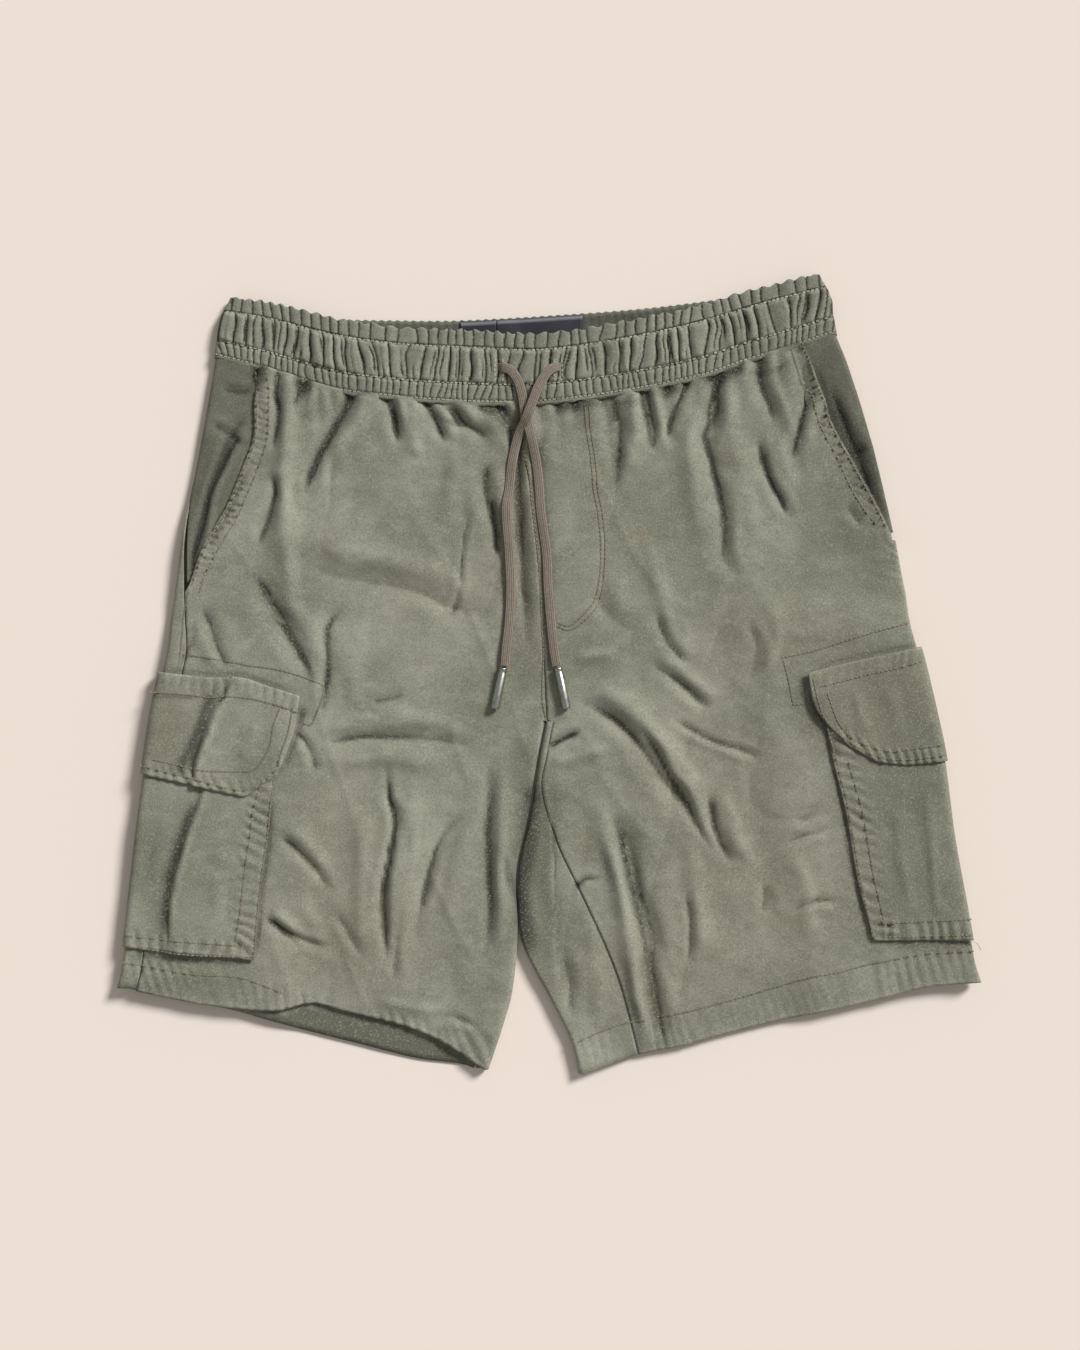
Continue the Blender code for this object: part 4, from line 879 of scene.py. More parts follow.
class Finish:
    """A node material with one Principled shader."""

    def __init__(self, name, roughness=0.9, metallic=0.0, sheen=0.0, specular=0.3):
        self.material = bpy.data.materials.new(name)
        self.material.use_nodes = True
        self.nodes = self.material.node_tree.nodes
        self.links = self.material.node_tree.links
        self.shader = self.nodes["Principled BSDF"]
        self.shader.inputs["Roughness"].default_value = roughness
        self.shader.inputs["Metallic"].default_value = metallic
        self.shader.inputs["Sheen Weight"].default_value = sheen
        self.shader.inputs["Specular IOR Level"].default_value = specular

    def node(self, kind, settings, **sockets):
        """A node with its settings and the values or links of its sockets."""
        made = self.nodes.new(kind)
        for key, value in settings.items():
            setattr(made, key, value)
        for key, value in sockets.items():
            self.fill(made.inputs[key], value)
        return made

    def fill(self, socket, value):
        if isinstance(value, Number):
            self.links.new(value.socket, socket)
        elif isinstance(value, bpy.types.NodeSocket):
            self.links.new(value, socket)
        elif isinstance(value, tuple) and len(value) == 3 and socket.type == "RGBA":
            socket.default_value = (*value, 1)
        else:
            socket.default_value = value

    def number(self, kind, settings, *values):
        made = self.node(kind, settings)
        for socket, value in zip(made.inputs, values):
            self.fill(socket, value)
        return Number(self, made.outputs[0])

    def place(self):
        return self.node("ShaderNodeTexCoord", {}).outputs["Object"]

    def turned(self, place, angle, stretch=(1, 1, 1)):
        made = self.node("ShaderNodeMapping", {}, Vector=place)
        made.inputs["Rotation"].default_value = (0, 0, angle)
        made.inputs["Scale"].default_value = stretch
        return made.outputs[0]

    def noise(self, place, pitch_mm, detail=2.0, roughness=0.5):
        made = self.node("ShaderNodeTexNoise", {}, Vector=place, Scale=1000 / pitch_mm,
                         Detail=detail, Roughness=roughness)
        return Number(self, made.outputs["Fac"])

    def attribute(self, name):
        return Number(self, self.node("ShaderNodeAttribute", dict(attribute_name=name)).outputs["Fac"])

    def mix(self, factor, first, second):
        made = self.node("ShaderNodeMix", dict(data_type="RGBA", blend_type="MIX", clamp_factor=True))
        for number, value in ((0, factor), (6, first), (7, second)):
            self.fill(made.inputs[number], value)
        return made.outputs[2]

    def band(self, value, low, high):
        """0 under low, 1 over high, eased between."""
        return self.number("ShaderNodeMapRange", dict(interpolation_type="SMOOTHSTEP"), value, low, high)

    def bump(self, height, distance_mm, strength=1.0, under=None):
        made = self.node("ShaderNodeBump", {}, Height=height, Distance=distance_mm * MM,
                         Strength=strength)
        if under is not None:
            self.fill(made.inputs["Normal"], under)
        return made.outputs[0]

    def finish(self, colour, normal=None, roughness=None):
        self.fill(self.shader.inputs["Base Color"], colour)
        if normal is not None:
            self.fill(self.shader.inputs["Normal"], normal)
        if roughness is not None:
            self.fill(self.shader.inputs["Roughness"], roughness)
        return self.material


def washed_twill(name, tone_and_shade=1.0, inside=False):
    """Faded cotton twill: mottled wash, pale rubbed edges with painted highlight on ridges, painted
    shade in troughs and tucks, and a fine diagonal weave.
    """
    cloth = Finish(name, roughness=0.92, sheen=0.12, specular=0.2)
    place = cloth.place()
    cloud = cloth.noise(place, 70, 3, 0.55)
    fine = cloth.noise(cloth.turned(place, 0.5, (1, 1.6, 1)), 12, 4, 0.62)
    grain = cloth.noise(place, 1.25, 3, 0.7)
    base = TWILL_INSIDE if inside else TWILL
    base = tuple(value * tone_and_shade for value in base)
    fade_and_highlight = tuple(value * tone_and_shade * (0.55 if inside else 1) for value in TWILL_FADE_AND_HIGHLIGHT)
    deep = tuple(value * tone_and_shade * (0.7 if inside else 1) for value in TWILL_DEEP)
    brown = tuple(value * tone_and_shade for value in TWILL_BROWN)
    colour = cloth.mix(cloth.band(cloud, 0.42, 0.66) * 0.34, base, fade_and_highlight)
    colour = cloth.mix(cloth.band(fine, 0.50, 0.78) * 0.34, colour, fade_and_highlight)
    colour = cloth.mix((1 - cloth.band(fine, 0.26, 0.50)) * 0.30, colour, deep)
    # pale mix: real wear on the edges and painted highlight on ridges
    colour = cloth.mix(cloth.attribute("wear_and_highlight") * (0.35 + 0.65 * cloth.band(grain, 0.35, 0.65)),
                       colour, fade_and_highlight)
    # darker and paler patches: the wash's own unevenness, and painted shade
    tone_and_shade_mark = cloth.attribute("tone_and_shade")
    colour = cloth.mix(tone_and_shade_mark.clamped(), colour, deep)
    colour = cloth.mix((0 - tone_and_shade_mark).clamped(), colour, fade_and_highlight)
    # painted shade in hollows, tucks and under the waistband
    shade = cloth.attribute("shade")
    colour = cloth.mix(cloth.band(shade, 0.0, 0.7), colour, deep)
    colour = cloth.mix(cloth.band(shade, 0.35, 1.1), colour, TWILL_SHADE_BLACK)
    colour = cloth.mix(cloth.attribute("brown") * 0.75, colour, brown)
    colour = cloth.mix(cloth.band(grain, 0.50, 0.72) * 0.55, colour, fade_and_highlight)
    colour = cloth.mix((1 - cloth.band(grain, 0.28, 0.50)) * 0.55, colour, deep)
    weave = cloth.node("ShaderNodeTexWave", dict(wave_type="BANDS", bands_direction="X"),
                       Vector=cloth.turned(place, math.radians(-58)), Scale=310, Distortion=1.2,
                       Detail=1.0)
    normal = cloth.bump(Number(cloth, weave.outputs["Fac"]), 0.10, 0.5)
    normal = cloth.bump(grain, 0.30, 0.8, normal)
    normal = cloth.bump(fine, 0.5, 0.4, normal)
    return cloth.finish(colour, normal)


def sewing_thread(name, base):
    thread = Finish(name, roughness=0.7, specular=0.3)
    place = thread.place()
    twist = thread.noise(place, 0.9, 2)
    fade = thread.noise(place, 40, 2)
    colour = thread.mix(thread.band(fade, 0.35, 0.65), base, tuple(value * 0.7 for value in base))
    colour = thread.mix(thread.band(twist, 0.4, 0.7) * 0.4, colour, tuple(value * 1.2 for value in base))
    return thread.finish(colour, thread.bump(twist, 0.08))


def ribbed_cord_finish():
    cord = Finish("flat cord, brown", roughness=0.88, sheen=0.1, specular=0.2)
    place = cord.place()
    fleck = cord.noise(place, 1.4, 3, 0.65)
    fade = cord.noise(place, 24, 2)
    rib = cord.attribute("rib")
    colour = cord.mix(cord.band(fade, 0.35, 0.65) * 0.4, CORD_BROWN, (0.13, 0.108, 0.082))
    colour = cord.mix((rib ** 2) * 0.8, colour, CORD_PALE)
    colour = cord.mix(cord.band(fleck, 0.5, 0.75) * 0.5, colour, (0.34, 0.31, 0.25))
    colour = cord.mix((1 - cord.band(fleck, 0.25, 0.45)) * 0.4, colour, (0.07, 0.057, 0.042))
    return cord.finish(colour, cord.bump(fleck, 0.3))


def worn_metal():
    metal = Finish("worn nickel", roughness=0.32, metallic=1.0)
    place = metal.place()
    scuff = metal.noise(metal.turned(place, 0.2, (1, 0.15, 1)), 1.2, 4, 0.7)
    patch = metal.noise(place, 7, 3, 0.6)
    colour = metal.mix(metal.band(patch, 0.42, 0.68), STEEL, (0.30, 0.27, 0.22))
    roughness = 0.24 + 0.26 * metal.band(patch, 0.35, 0.7) + 0.12 * metal.band(scuff, 0.45, 0.7)
    return metal.finish(colour, metal.bump(scuff, 0.04), roughness)


def label_satin():
    satin = Finish("woven label, navy", roughness=0.55, sheen=0.15, specular=0.35)
    place = satin.place()
    weave = satin.noise(satin.turned(place, 0, (1, 3, 1)), 0.8, 2)
    fade = satin.noise(place, 16, 3)
    colour = satin.mix(satin.band(fade, 0.35, 0.7) * 0.5, NAVY, (0.03, 0.033, 0.046))
    colour = satin.mix(satin.attribute("border"), colour, NAVY_EDGE)
    return satin.finish(colour, satin.bump(weave, 0.15))


def pale_floor():
    floor = Finish("pale floor", roughness=0.95, specular=0.1)
    cloud = floor.noise(floor.place(), 300, 2)
    colour = floor.mix(cloud * 0.06, FLOOR, tuple(value * 0.97 for value in FLOOR))
    return floor.finish(colour)


# ---------------------------------------------------------------- wear and shade of the cloth
def edge_wear(lines, reach=2.2):
    """Real edge wear for the pale attribute: 1 on the given edges, fading over the reach."""
    def measure(x, y, z):
        wear_and_highlight = np.zeros(len(x))
        for line in lines:
            path = spline(line, 8.0)
            away, _, _ = nearest(x, y, path)
            wear_and_highlight = np.maximum(wear_and_highlight, np.exp(-(away / reach) ** 2))
        return wear_and_highlight * (0.55 + 0.45 * rough(x, y, 7, 51))
    return measure


def hollowness(height, x, y, reach):
    """How far a place lies under the cloth round it; under 0 on a ridge."""
    ring = np.linspace(0, 2 * math.pi, 8, endpoint=False)
    about = sum(height(x + reach * math.cos(angle), y + reach * math.sin(angle)) for angle in ring)
    return about / len(ring) - height(x, y)


def painted_shadow_lines(x, y, z):
    """Painted shadow along the tucks and beside raised edges, and painted shade in the gathers under the
    waistband, on the upper side only.
    """
    total = np.zeros(len(x))
    warped_x = x + 1.0 * rough(x, y, 26, 97)
    uneven = 0.95 + 0.3 * rough(x, y, 24, 99)
    for half_width, strength, path in SHADOW_LINES:
        line = spline(path, 6.0)
        reach = 4 * half_width + 6
        near = round_line(x, y, line, reach)
        if near.any():
            away, share, _ = nearest(warped_x[near], y[near], line)
            ends = ease(share / 0.18 + 0.08) * ease((1 - share) / 0.18 + 0.08)
            core = np.exp(-(away / (half_width * uneven[near])) ** 2)
            halo = np.exp(-away / (1.6 * half_width + 2))
            total[near] += strength * ends * (0.44 * core + 0.22 * halo)
    # painted shade under the waistband's lower edge
    below = smooth(BAND_BOTTOM, x) - y
    gathers = (np.exp(-(np.maximum(below, 0) / 7.0) ** 2)
               * np.clip(0.15 + 1.3 * rough(x, y, 15, 98), 0, 1))
    return (total + 0.9 * gathers) * (z > 3.0)


def trough_shade(hollows):
    """Painted shade attribute: dark in hollows and along the painted shadow lines."""
    def measure(x, y, z):
        small, large = hollows.at(x, y)
        return np.clip(np.clip(1.3 * small + 1.9 * large - 0.04, 0, 0.8) + painted_shadow_lines(x, y, z), 0, 1.15)
    return measure


def ridge_highlight_and_edge_wear(hollows, lines, reach=2.2):
    """Pale attribute: painted highlight on ridges, and real wear on the edges along the given lines."""
    edges = edge_wear(lines, reach)

    def measure(x, y, z):
        small, large = hollows.at(x, y)
        ridges = np.clip(-1.6 * small - 1.7 * large - 0.04, 0, 0.6) * (0.7 + 0.3 * rough(x, y, 9, 52))
        return np.clip(edges(x, y, z) * 0.8 + ridges, 0, 1)
    return measure


def brown_spots(x, y, z):
    """Brown attribute: small spots and wide soft patches."""
    spots = np.zeros(len(x))
    for at_x, at_y, across_mm, along_mm in BROWN_SPOTS:
        spots += np.exp(-((x - at_x) / across_mm) ** 2 - ((y - at_y) / along_mm) ** 2)
    return np.clip(spots + patches(BROWN_PATCHES, x, y, 58), 0, 1) * (0.7 + 0.3 * rough(x, y, 6, 53))


# x, y, half sizes and strength of darker (over 0) and paler (under 0) patches: the wash's own uneven
# fading, and painted shade beside folds, pocket edges and flaps, between the cords and beside the inner
# legs
TONE_AND_SHADE_PATCHES = (
    (-3, -110, 9, 70, 0.75), (-264, -40, 17, 30, 0.5), (-198, -60, 10, 30, 0.2), (3, -180, 12, 40, 0.4),
    (-14, 40, 12, 60, 0.35), (-262, 20, 14, 30, 0.2), (-130, 2, 20, 10, 0.15), (270, -190, 40, 8, 0.3),
    (-250, -217, 60, 13, 0.42), (222, 150, 20, 60, 0.36), (45, -160, 10, 80, -0.22),
    (255, -120, 44, 64, 0.60), (238, -25, 48, 34, 0.58), (222, 60, 26, 70, 0.28),
    (-276, -135, 17, 62, 0.55), (-232, 40, 22, 40, 0.12), (150, 206, 70, 22, 0.18),
    (-100, 186, 90, 14, 0.12), (60, 90, 40, 60, 0.12), (20, 20, 24, 60, 0.16), (185, -30, 16, 20, 0.45),
    (-180, 20, 14, 40, 0.18), (30, -120, 30, 60, 0.10), (-6, 120, 14, 80, 0.25),
    (70, -190, 14, 60, 0.25),
    (-100, -120, 46, 66, -0.30), (-108, 22, 46, 44, -0.22), (-24, -150, 12, 60, -0.20),
    (150, -130, 40, 40, -0.16), (120, 150, 30, 30, -0.06), (-235, -50, 20, 30, -0.10),
)
BROWN_PATCHES = (
    (-140, -190, 60, 40, 0.75), (-150, -110, 30, 40, 0.5), (150, -150, 60, 60, 0.75),
    (110, -60, 60, 40, 0.4),
    (150, 30, 60, 30, 0.45), (-263, -42, 15, 16, 0.9), (215, -40, 16, 16, 0.9), (-75, 60, 50, 30, 0.3),
    (240, -10, 40, 20, 0.6), (-20, 90, 20, 90, 0.4), (70, -210, 60, 30, 0.5),
)


def patches(table, x, y, seed):
    """Sum of the soft patches of a table, with uneven outlines."""
    total = np.zeros(np.shape(x))
    warped_x, warped_y = x + 9 * rough(x, y, 30, seed), y + 9 * rough(x, y, 34, seed + 1)
    for at_x, at_y, across_mm, along_mm, strength in table:
        total += strength * np.exp(-((warped_x - at_x) / across_mm) ** 2
                                   - ((warped_y - at_y) / along_mm) ** 2)
    return total


def wash_tone_and_shade(x, y, z):
    """Darker and paler patches of the wash and of painted shade, and painted shade on the back hem that
    shows under the front one.
    """
    # painted shade on the strip of back hem under the front hem
    shade_on_hidden_hem = (x < -45) * (x > -205) * ease((smooth(HEM_FRONT_LEFT, x) - 1.0 - y) / 2) * 0.95
    return patches(TONE_AND_SHADE_PATCHES, x, y, 56) + shade_on_hidden_hem


BROWN_SPOTS = ((-88, 12, 7, 5), (-72, -150, 8, 12), (128, 150, 6, 8), (64, 96, 7, 9),
               (160, -170, 8, 6), (-150, 90, 6, 9), (24, -120, 6, 10))


def swap_ends(table):
    """A y, x table as x, y points."""
    return tuple((x, y) for y, x in table)


class Hollows:
    """Small and large hollowness of a height function, worked out once on a raster."""
    STEP = 1.75
    made = {}

    def __init__(self, height):
        self.start_x, self.start_y = -312.0, -290.0
        x, y = np.meshgrid(np.arange(self.start_x, 313, self.STEP),
                           np.arange(self.start_y, 291, self.STEP))
        level = height(x, y)
        self.small = self.softened(level, 1) - level
        self.large = self.softened(self.softened(level, 3), 2) - level

    @staticmethod
    def softened(level, cells):
        """Average over a square of cells round each one."""
        steps = range(-cells, cells + 1)
        for axis in (0, 1):
            level = sum(np.roll(level, step, axis) for step in steps) / len(steps)
        return level

    def at(self, x, y):
        u = np.clip((x - self.start_x) / self.STEP, 0, self.small.shape[1] - 2)
        v = np.clip((y - self.start_y) / self.STEP, 0, self.small.shape[0] - 2)
        i, j = u.astype(int), v.astype(int)
        s, t = u - i, v - j
        found = []
        for raster, size in ((self.small, 1.8), (self.large, 5.2)):
            low = blend(raster[j, i], raster[j, i + 1], s)
            high = blend(raster[j + 1, i], raster[j + 1, i + 1], s)
            found.append(blend(low, high, t) / size)
        return found

    @classmethod
    def of(cls, height):
        if height not in cls.made:
            cls.made[height] = cls(height)
        return cls.made[height]


def marks_for(height, *edges):
    """Pale edges with painted ridge highlight, painted shade, brown, and the uneven wash with painted
    shade patches of a panel, pocket or flap.
    """
    hollows = Hollows.of(height)
    return dict(wear_and_highlight=ridge_highlight_and_edge_wear(hollows, edges), shade=trough_shade(hollows), brown=brown_spots,
                tone_and_shade=wash_tone_and_shade)


# ---------------------------------------------------------------- panels
ROWS_WAIST = 112         # from the waistband to the crotch
ROWS_LEG = 124
COLUMNS = 118
BACK_ROWS_LEFT = (40, 56)    # from the waistband to the crotch, and along the leg
BACK_ROWS_RIGHT = (36, 60)
BACK_COLUMNS = 48
FRONT_FOOT_LEFT_Y = -220     # lower ends of the side lines
FRONT_FOOT_RIGHT_Y = -214
BACK_FOOT_LEFT_Y = -218
BACK_FOOT_RIGHT_Y = -215
ROWS_MOUTH_LEFT = 74
ROWS_MOUTH_RIGHT = 58
FRONT_TURNS = (QUARTER * 0.75, QUARTER * 0.5, QUARTER * 0.25, 0, -QUARTER * 0.25, -QUARTER * 0.5,
               -QUARTER * 0.75, -QUARTER)


def seam_left(y):
    """The left side seam, where it lies on the front."""
    return LEFT.root(y) + smooth(SEAM_REACH_LEFT, y) - QUARTER + 0.3


def band_seam(x, gap=-3.0):
    """Top edge of the panels, tucked under the waistband."""
    return smooth(BAND_BOTTOM, x) - gap


def run_of(grid, column, first=0):
    return [line[column] for line in grid[first:]]


def plan_of(run):
    return np.array([vert.co for vert in run]) / MM


def front_left(cloth):
    """Left front panel, folded round the inner leg."""
    rows = ROWS_WAIST + ROWS_LEG
    top_y = float(band_seam(-201))
    mouth_end = MOUTH_LEFT[0][0]
    outer = np.vstack((down(lambda y: smooth(MOUTH_LEFT, y), top_y, mouth_end, ROWS_MOUTH_LEFT),
                       down(seam_left, mouth_end - 6, FRONT_FOOT_LEFT_Y, rows - ROWS_MOUTH_LEFT)))
    centre = down(lambda y: smooth(CENTRE_FRONT, y) - SEAM_GAP, float(band_seam(-20)), CROTCH_Y,
                  ROWS_WAIST)
    leg = down(lambda y: smooth(INNER_LEFT, y) - FOLD_RADIUS, LEG_TOP_Y, INNER_FOOT_Y, ROWS_LEG)
    inner = np.vstack((centre, leg))
    top = across(BAND_BOTTOM, outer[0, 0], inner[0, 0], COLUMNS, 3.0)
    bottom = across(HEM_FRONT_LEFT, outer[-1, 0], inner[-1, 0], COLUMNS)
    mesh, grid = sheet_mesh(raised(coons(top, bottom, outer, inner), front_mid))
    run = run_of(grid, -1, ROWS_WAIST)
    y = plan_of(run)[:, 1]
    turns = (*FRONT_TURNS, -QUARTER - 3, -QUARTER - SIDE_WRAP + 2)
    extend(mesh, run, fold_columns(smooth(INNER_LEFT, y), -1, turns, y))
    edges = (swap_ends(MOUTH_LEFT), HEM_FRONT_LEFT, swap_ends(CENTRE_FRONT), swap_ends(INNER_LEFT))
    return cloth_object("front_panel_left", mesh, WALL, cloth, marks_for(front_mid, *edges))


def front_right(cloth):
    """Right front panel, folded round the side."""
    rows = ROWS_WAIST + ROWS_LEG
    top_y = float(band_seam(176))
    mouth_end = MOUTH_RIGHT[0][0]
    outer = np.vstack((down(lambda y: smooth(MOUTH_RIGHT, y), top_y, mouth_end, ROWS_MOUTH_RIGHT),
                       down(RIGHT.root, mouth_end - 5, FRONT_FOOT_RIGHT_Y,
                            rows - ROWS_MOUTH_RIGHT)))
    centre = down(lambda y: smooth(CENTRE_FRONT, y) + SEAM_GAP, float(band_seam(-20)), CROTCH_Y,
                  ROWS_WAIST)
    inseam = down(lambda y: smooth(INSEAM_RIGHT, y) + SEAM_GAP, LEG_TOP_Y, INSEAM_FOOT_Y, ROWS_LEG)
    inner = np.vstack((centre, inseam))
    top = across(BAND_BOTTOM, outer[0, 0], inner[0, 0], COLUMNS, 3.0)
    bottom = across(HEM_RIGHT, outer[-1, 0], inner[-1, 0], COLUMNS)
    mesh, grid = sheet_mesh(raised(coons(top, bottom, outer, inner), front_mid))
    run = run_of(grid, 0, ROWS_MOUTH_RIGHT)
    y = plan_of(run)[:, 1]
    extend(mesh, run, fold_columns(RIGHT.outer(y), -1, (*FRONT_TURNS, -QUARTER - 4,
                                                       -QUARTER - SIDE_WRAP), y))
    edges = (swap_ends(MOUTH_RIGHT), HEM_RIGHT, swap_ends(CENTRE_FRONT), swap_ends(INSEAM_RIGHT),
             swap_ends(SIDE_RIGHT))
    return cloth_object("front_panel_right", mesh, WALL, cloth, marks_for(front_mid, *edges))


def back_left(cloth):
    """Left back panel, folded round the side up to the front seam."""
    outer = down(LEFT.root, float(band_seam(-229, 1.5)), BACK_FOOT_LEFT_Y, sum(BACK_ROWS_LEFT))
    centre = down(lambda y: 0 * y + CENTRE_BACK_X - SEAM_GAP, float(band_seam(CENTRE_BACK_X, 1.5)),
                  CROTCH_Y, BACK_ROWS_LEFT[0])
    wrap = FOLD_RADIUS + SIDE_WRAP - 2 + 1.4
    leg = down(lambda y: smooth(INNER_LEFT, y) - wrap, LEG_TOP_Y, INNER_FOOT_Y, BACK_ROWS_LEFT[1])
    inner = np.vstack((centre, leg))
    top = across(BAND_BOTTOM, outer[0, 0], inner[0, 0], BACK_COLUMNS, -1.5)
    bottom = across(HEM_BACK_LEFT, outer[-1, 0], inner[-1, 0], BACK_COLUMNS)
    mesh, grid = sheet_mesh(raised(coons(top, bottom, outer, inner), back_skin))
    run = run_of(grid, 0)
    y = plan_of(run)[:, 1]
    reaches = [blend(-QUARTER, smooth(SEAM_REACH_LEFT, y) - 0.3, part)
               for part in np.linspace(0, 1, 15)[1:]]
    extend(mesh, run, fold_columns(LEFT.outer(y), 1, reaches, y))
    return cloth_object("back_panel_left", mesh, WALL, cloth,
                        marks_for(front_mid, swap_ends(SIDE_LEFT), HEM_BACK_LEFT))


def back_right(cloth):
    """Right back panel, folded round the inner leg up to the inseam."""
    wrap = SIDE_WRAP + 1.4
    outer = down(lambda y: RIGHT.root(y) - wrap, float(band_seam(190, 1.5)), BACK_FOOT_RIGHT_Y,
                 sum(BACK_ROWS_RIGHT))
    centre = down(lambda y: 0 * y + CENTRE_BACK_X + SEAM_GAP, float(band_seam(CENTRE_BACK_X, 1.5)),
                  CROTCH_Y, BACK_ROWS_RIGHT[0])
    leg = down(lambda y: smooth(INNER_RIGHT, y) + FOLD_RADIUS, LEG_TOP_Y, FOLD_FOOT_Y,
               BACK_ROWS_RIGHT[1])
    inner = np.vstack((centre, leg))
    top = across(BAND_BOTTOM, outer[0, 0], inner[0, 0], BACK_COLUMNS, -1.5)
    bottom = across(HEM_RIGHT, outer[-1, 0], inner[-1, 0], BACK_COLUMNS)
    mesh, grid = sheet_mesh(raised(coons(top, bottom, outer, inner), back_skin))
    run = run_of(grid, -1, BACK_ROWS_RIGHT[0])
    y = plan_of(run)[:, 1]
    turns = [-part * QUARTER for part in (0.75, 0.5, 0.25, 0, -0.25, -0.5, -0.75, -1)]
    columns = fold_columns(smooth(INNER_RIGHT, y), 1, turns, y)
    for part in np.linspace(0, 1, 21)[1:]:
        rise = part * (INSEAM_FOOT_Y - FOLD_FOOT_Y) * (y - LEG_TOP_Y) / (FOLD_FOOT_Y - LEG_TOP_Y)
        root = smooth(INNER_RIGHT, y) + FOLD_RADIUS
        x = blend(root, smooth(INSEAM_RIGHT, y + rise) - SEAM_GAP, part)
        columns.append(np.column_stack((x, y + rise, front_mid(x, y + rise))))
    extend(mesh, run, columns)
    edges = (swap_ends(INSEAM_RIGHT), swap_ends(INNER_RIGHT), HEM_RIGHT)
    return cloth_object("back_panel_right", mesh, WALL, cloth, marks_for(front_mid, *edges))


# ---------------------------------------------------------------- pieces that wrap a side fold
WRAP_COLUMNS = 76
BEHIND_SHARE = 0.16      # share of a pocket's columns behind the fold
ROUND_SHARE = 0.12       # and round it
FACING_ROWS = 90
FACING_COLUMNS = 34


def wrapped_points(side, reaches_at, top_of, bottom_of, rows, columns, level, skin):
    """Rows of points of a piece that lies round a side fold.

    reaches_at(share, y) gives the reach; top_of(x) and bottom_of(x) give the plan edges.
    """
    down_share = np.linspace(0, 1, rows)[:, None] * np.ones((1, columns))
    across_share = np.linspace(0, 1, columns)[None, :] * np.ones((rows, 1))
    start = side.outer(0.0)
    y = blend(top_of(start), bottom_of(start), down_share)
    for _ in range(4):
        points = round_points(side, reaches_at(across_share, y), y, level, skin)
        y = blend(top_of(points[..., 0]), bottom_of(points[..., 0]), down_share)
    return round_points(side, reaches_at(across_share, y), y, level, skin)


def round_points(side, reach, y, level, skin):
    """Points at the given reaches round a side fold, in the shape of y."""
    flat_y = y.ravel()
    column = fold_columns(side.outer(flat_y), side.inward, [reach.ravel()], flat_y, level, skin)[0]
    return column.reshape(*y.shape, 3)


def reach_of(side, x, y):
    """Reach round the side fold at which a piece comes to x."""
    return side.depth(x, y) - FOLD_RADIUS + QUARTER


def cargo_piece(name, side, level, under, end_table, top_of, bottom_of, rows, skin, cloth, edges):
    """Pocket or flap that straddles a side fold."""
    rear = -(under - FOLD_RADIUS + QUARTER)

    def reaches_at(share, y):
        end = reach_of(side, smooth(end_table, y), y)
        turned = BEHIND_SHARE + ROUND_SHARE
        beneath = rear + (-QUARTER - rear) * (share / BEHIND_SHARE)
        turning = blend(-QUARTER, QUARTER, (share - BEHIND_SHARE) / ROUND_SHARE)
        above = blend(QUARTER, end, (share - turned) / (1 - turned))
        return np.where(share < BEHIND_SHARE, beneath, np.where(share < turned, turning, above))

    points = wrapped_points(side, reaches_at, top_of, bottom_of, rows, WRAP_COLUMNS, level, skin)
    mesh, _ = sheet_mesh(points)
    return cloth_object(name, mesh, WALL, cloth, marks_for(skin, *edges))


def hip_facing(name, side, starts, cloth):
    """Cloth that shows in a pocket mouth."""
    def reaches_at(share, y):
        end = smooth(side.mouth, y) + side.inward * MOUTH_REACH
        return blend(starts(y), reach_of(side, end, y), share)

    points = wrapped_points(side, reaches_at, lambda x: band_seam(x, -2.0),
                            lambda x: 0 * x + side.mouth[0][0] + 1, FACING_ROWS,
                            FACING_COLUMNS, 0, facing_height)
    mesh, _ = sheet_mesh(points)
    return cloth_object(name, mesh, WALL, cloth, marks_for(facing_height, swap_ends(side.outline)))


# ---------------------------------------------------------------- waistband and labels
BAND_COLUMNS = 460
BAND_ROWS = 50


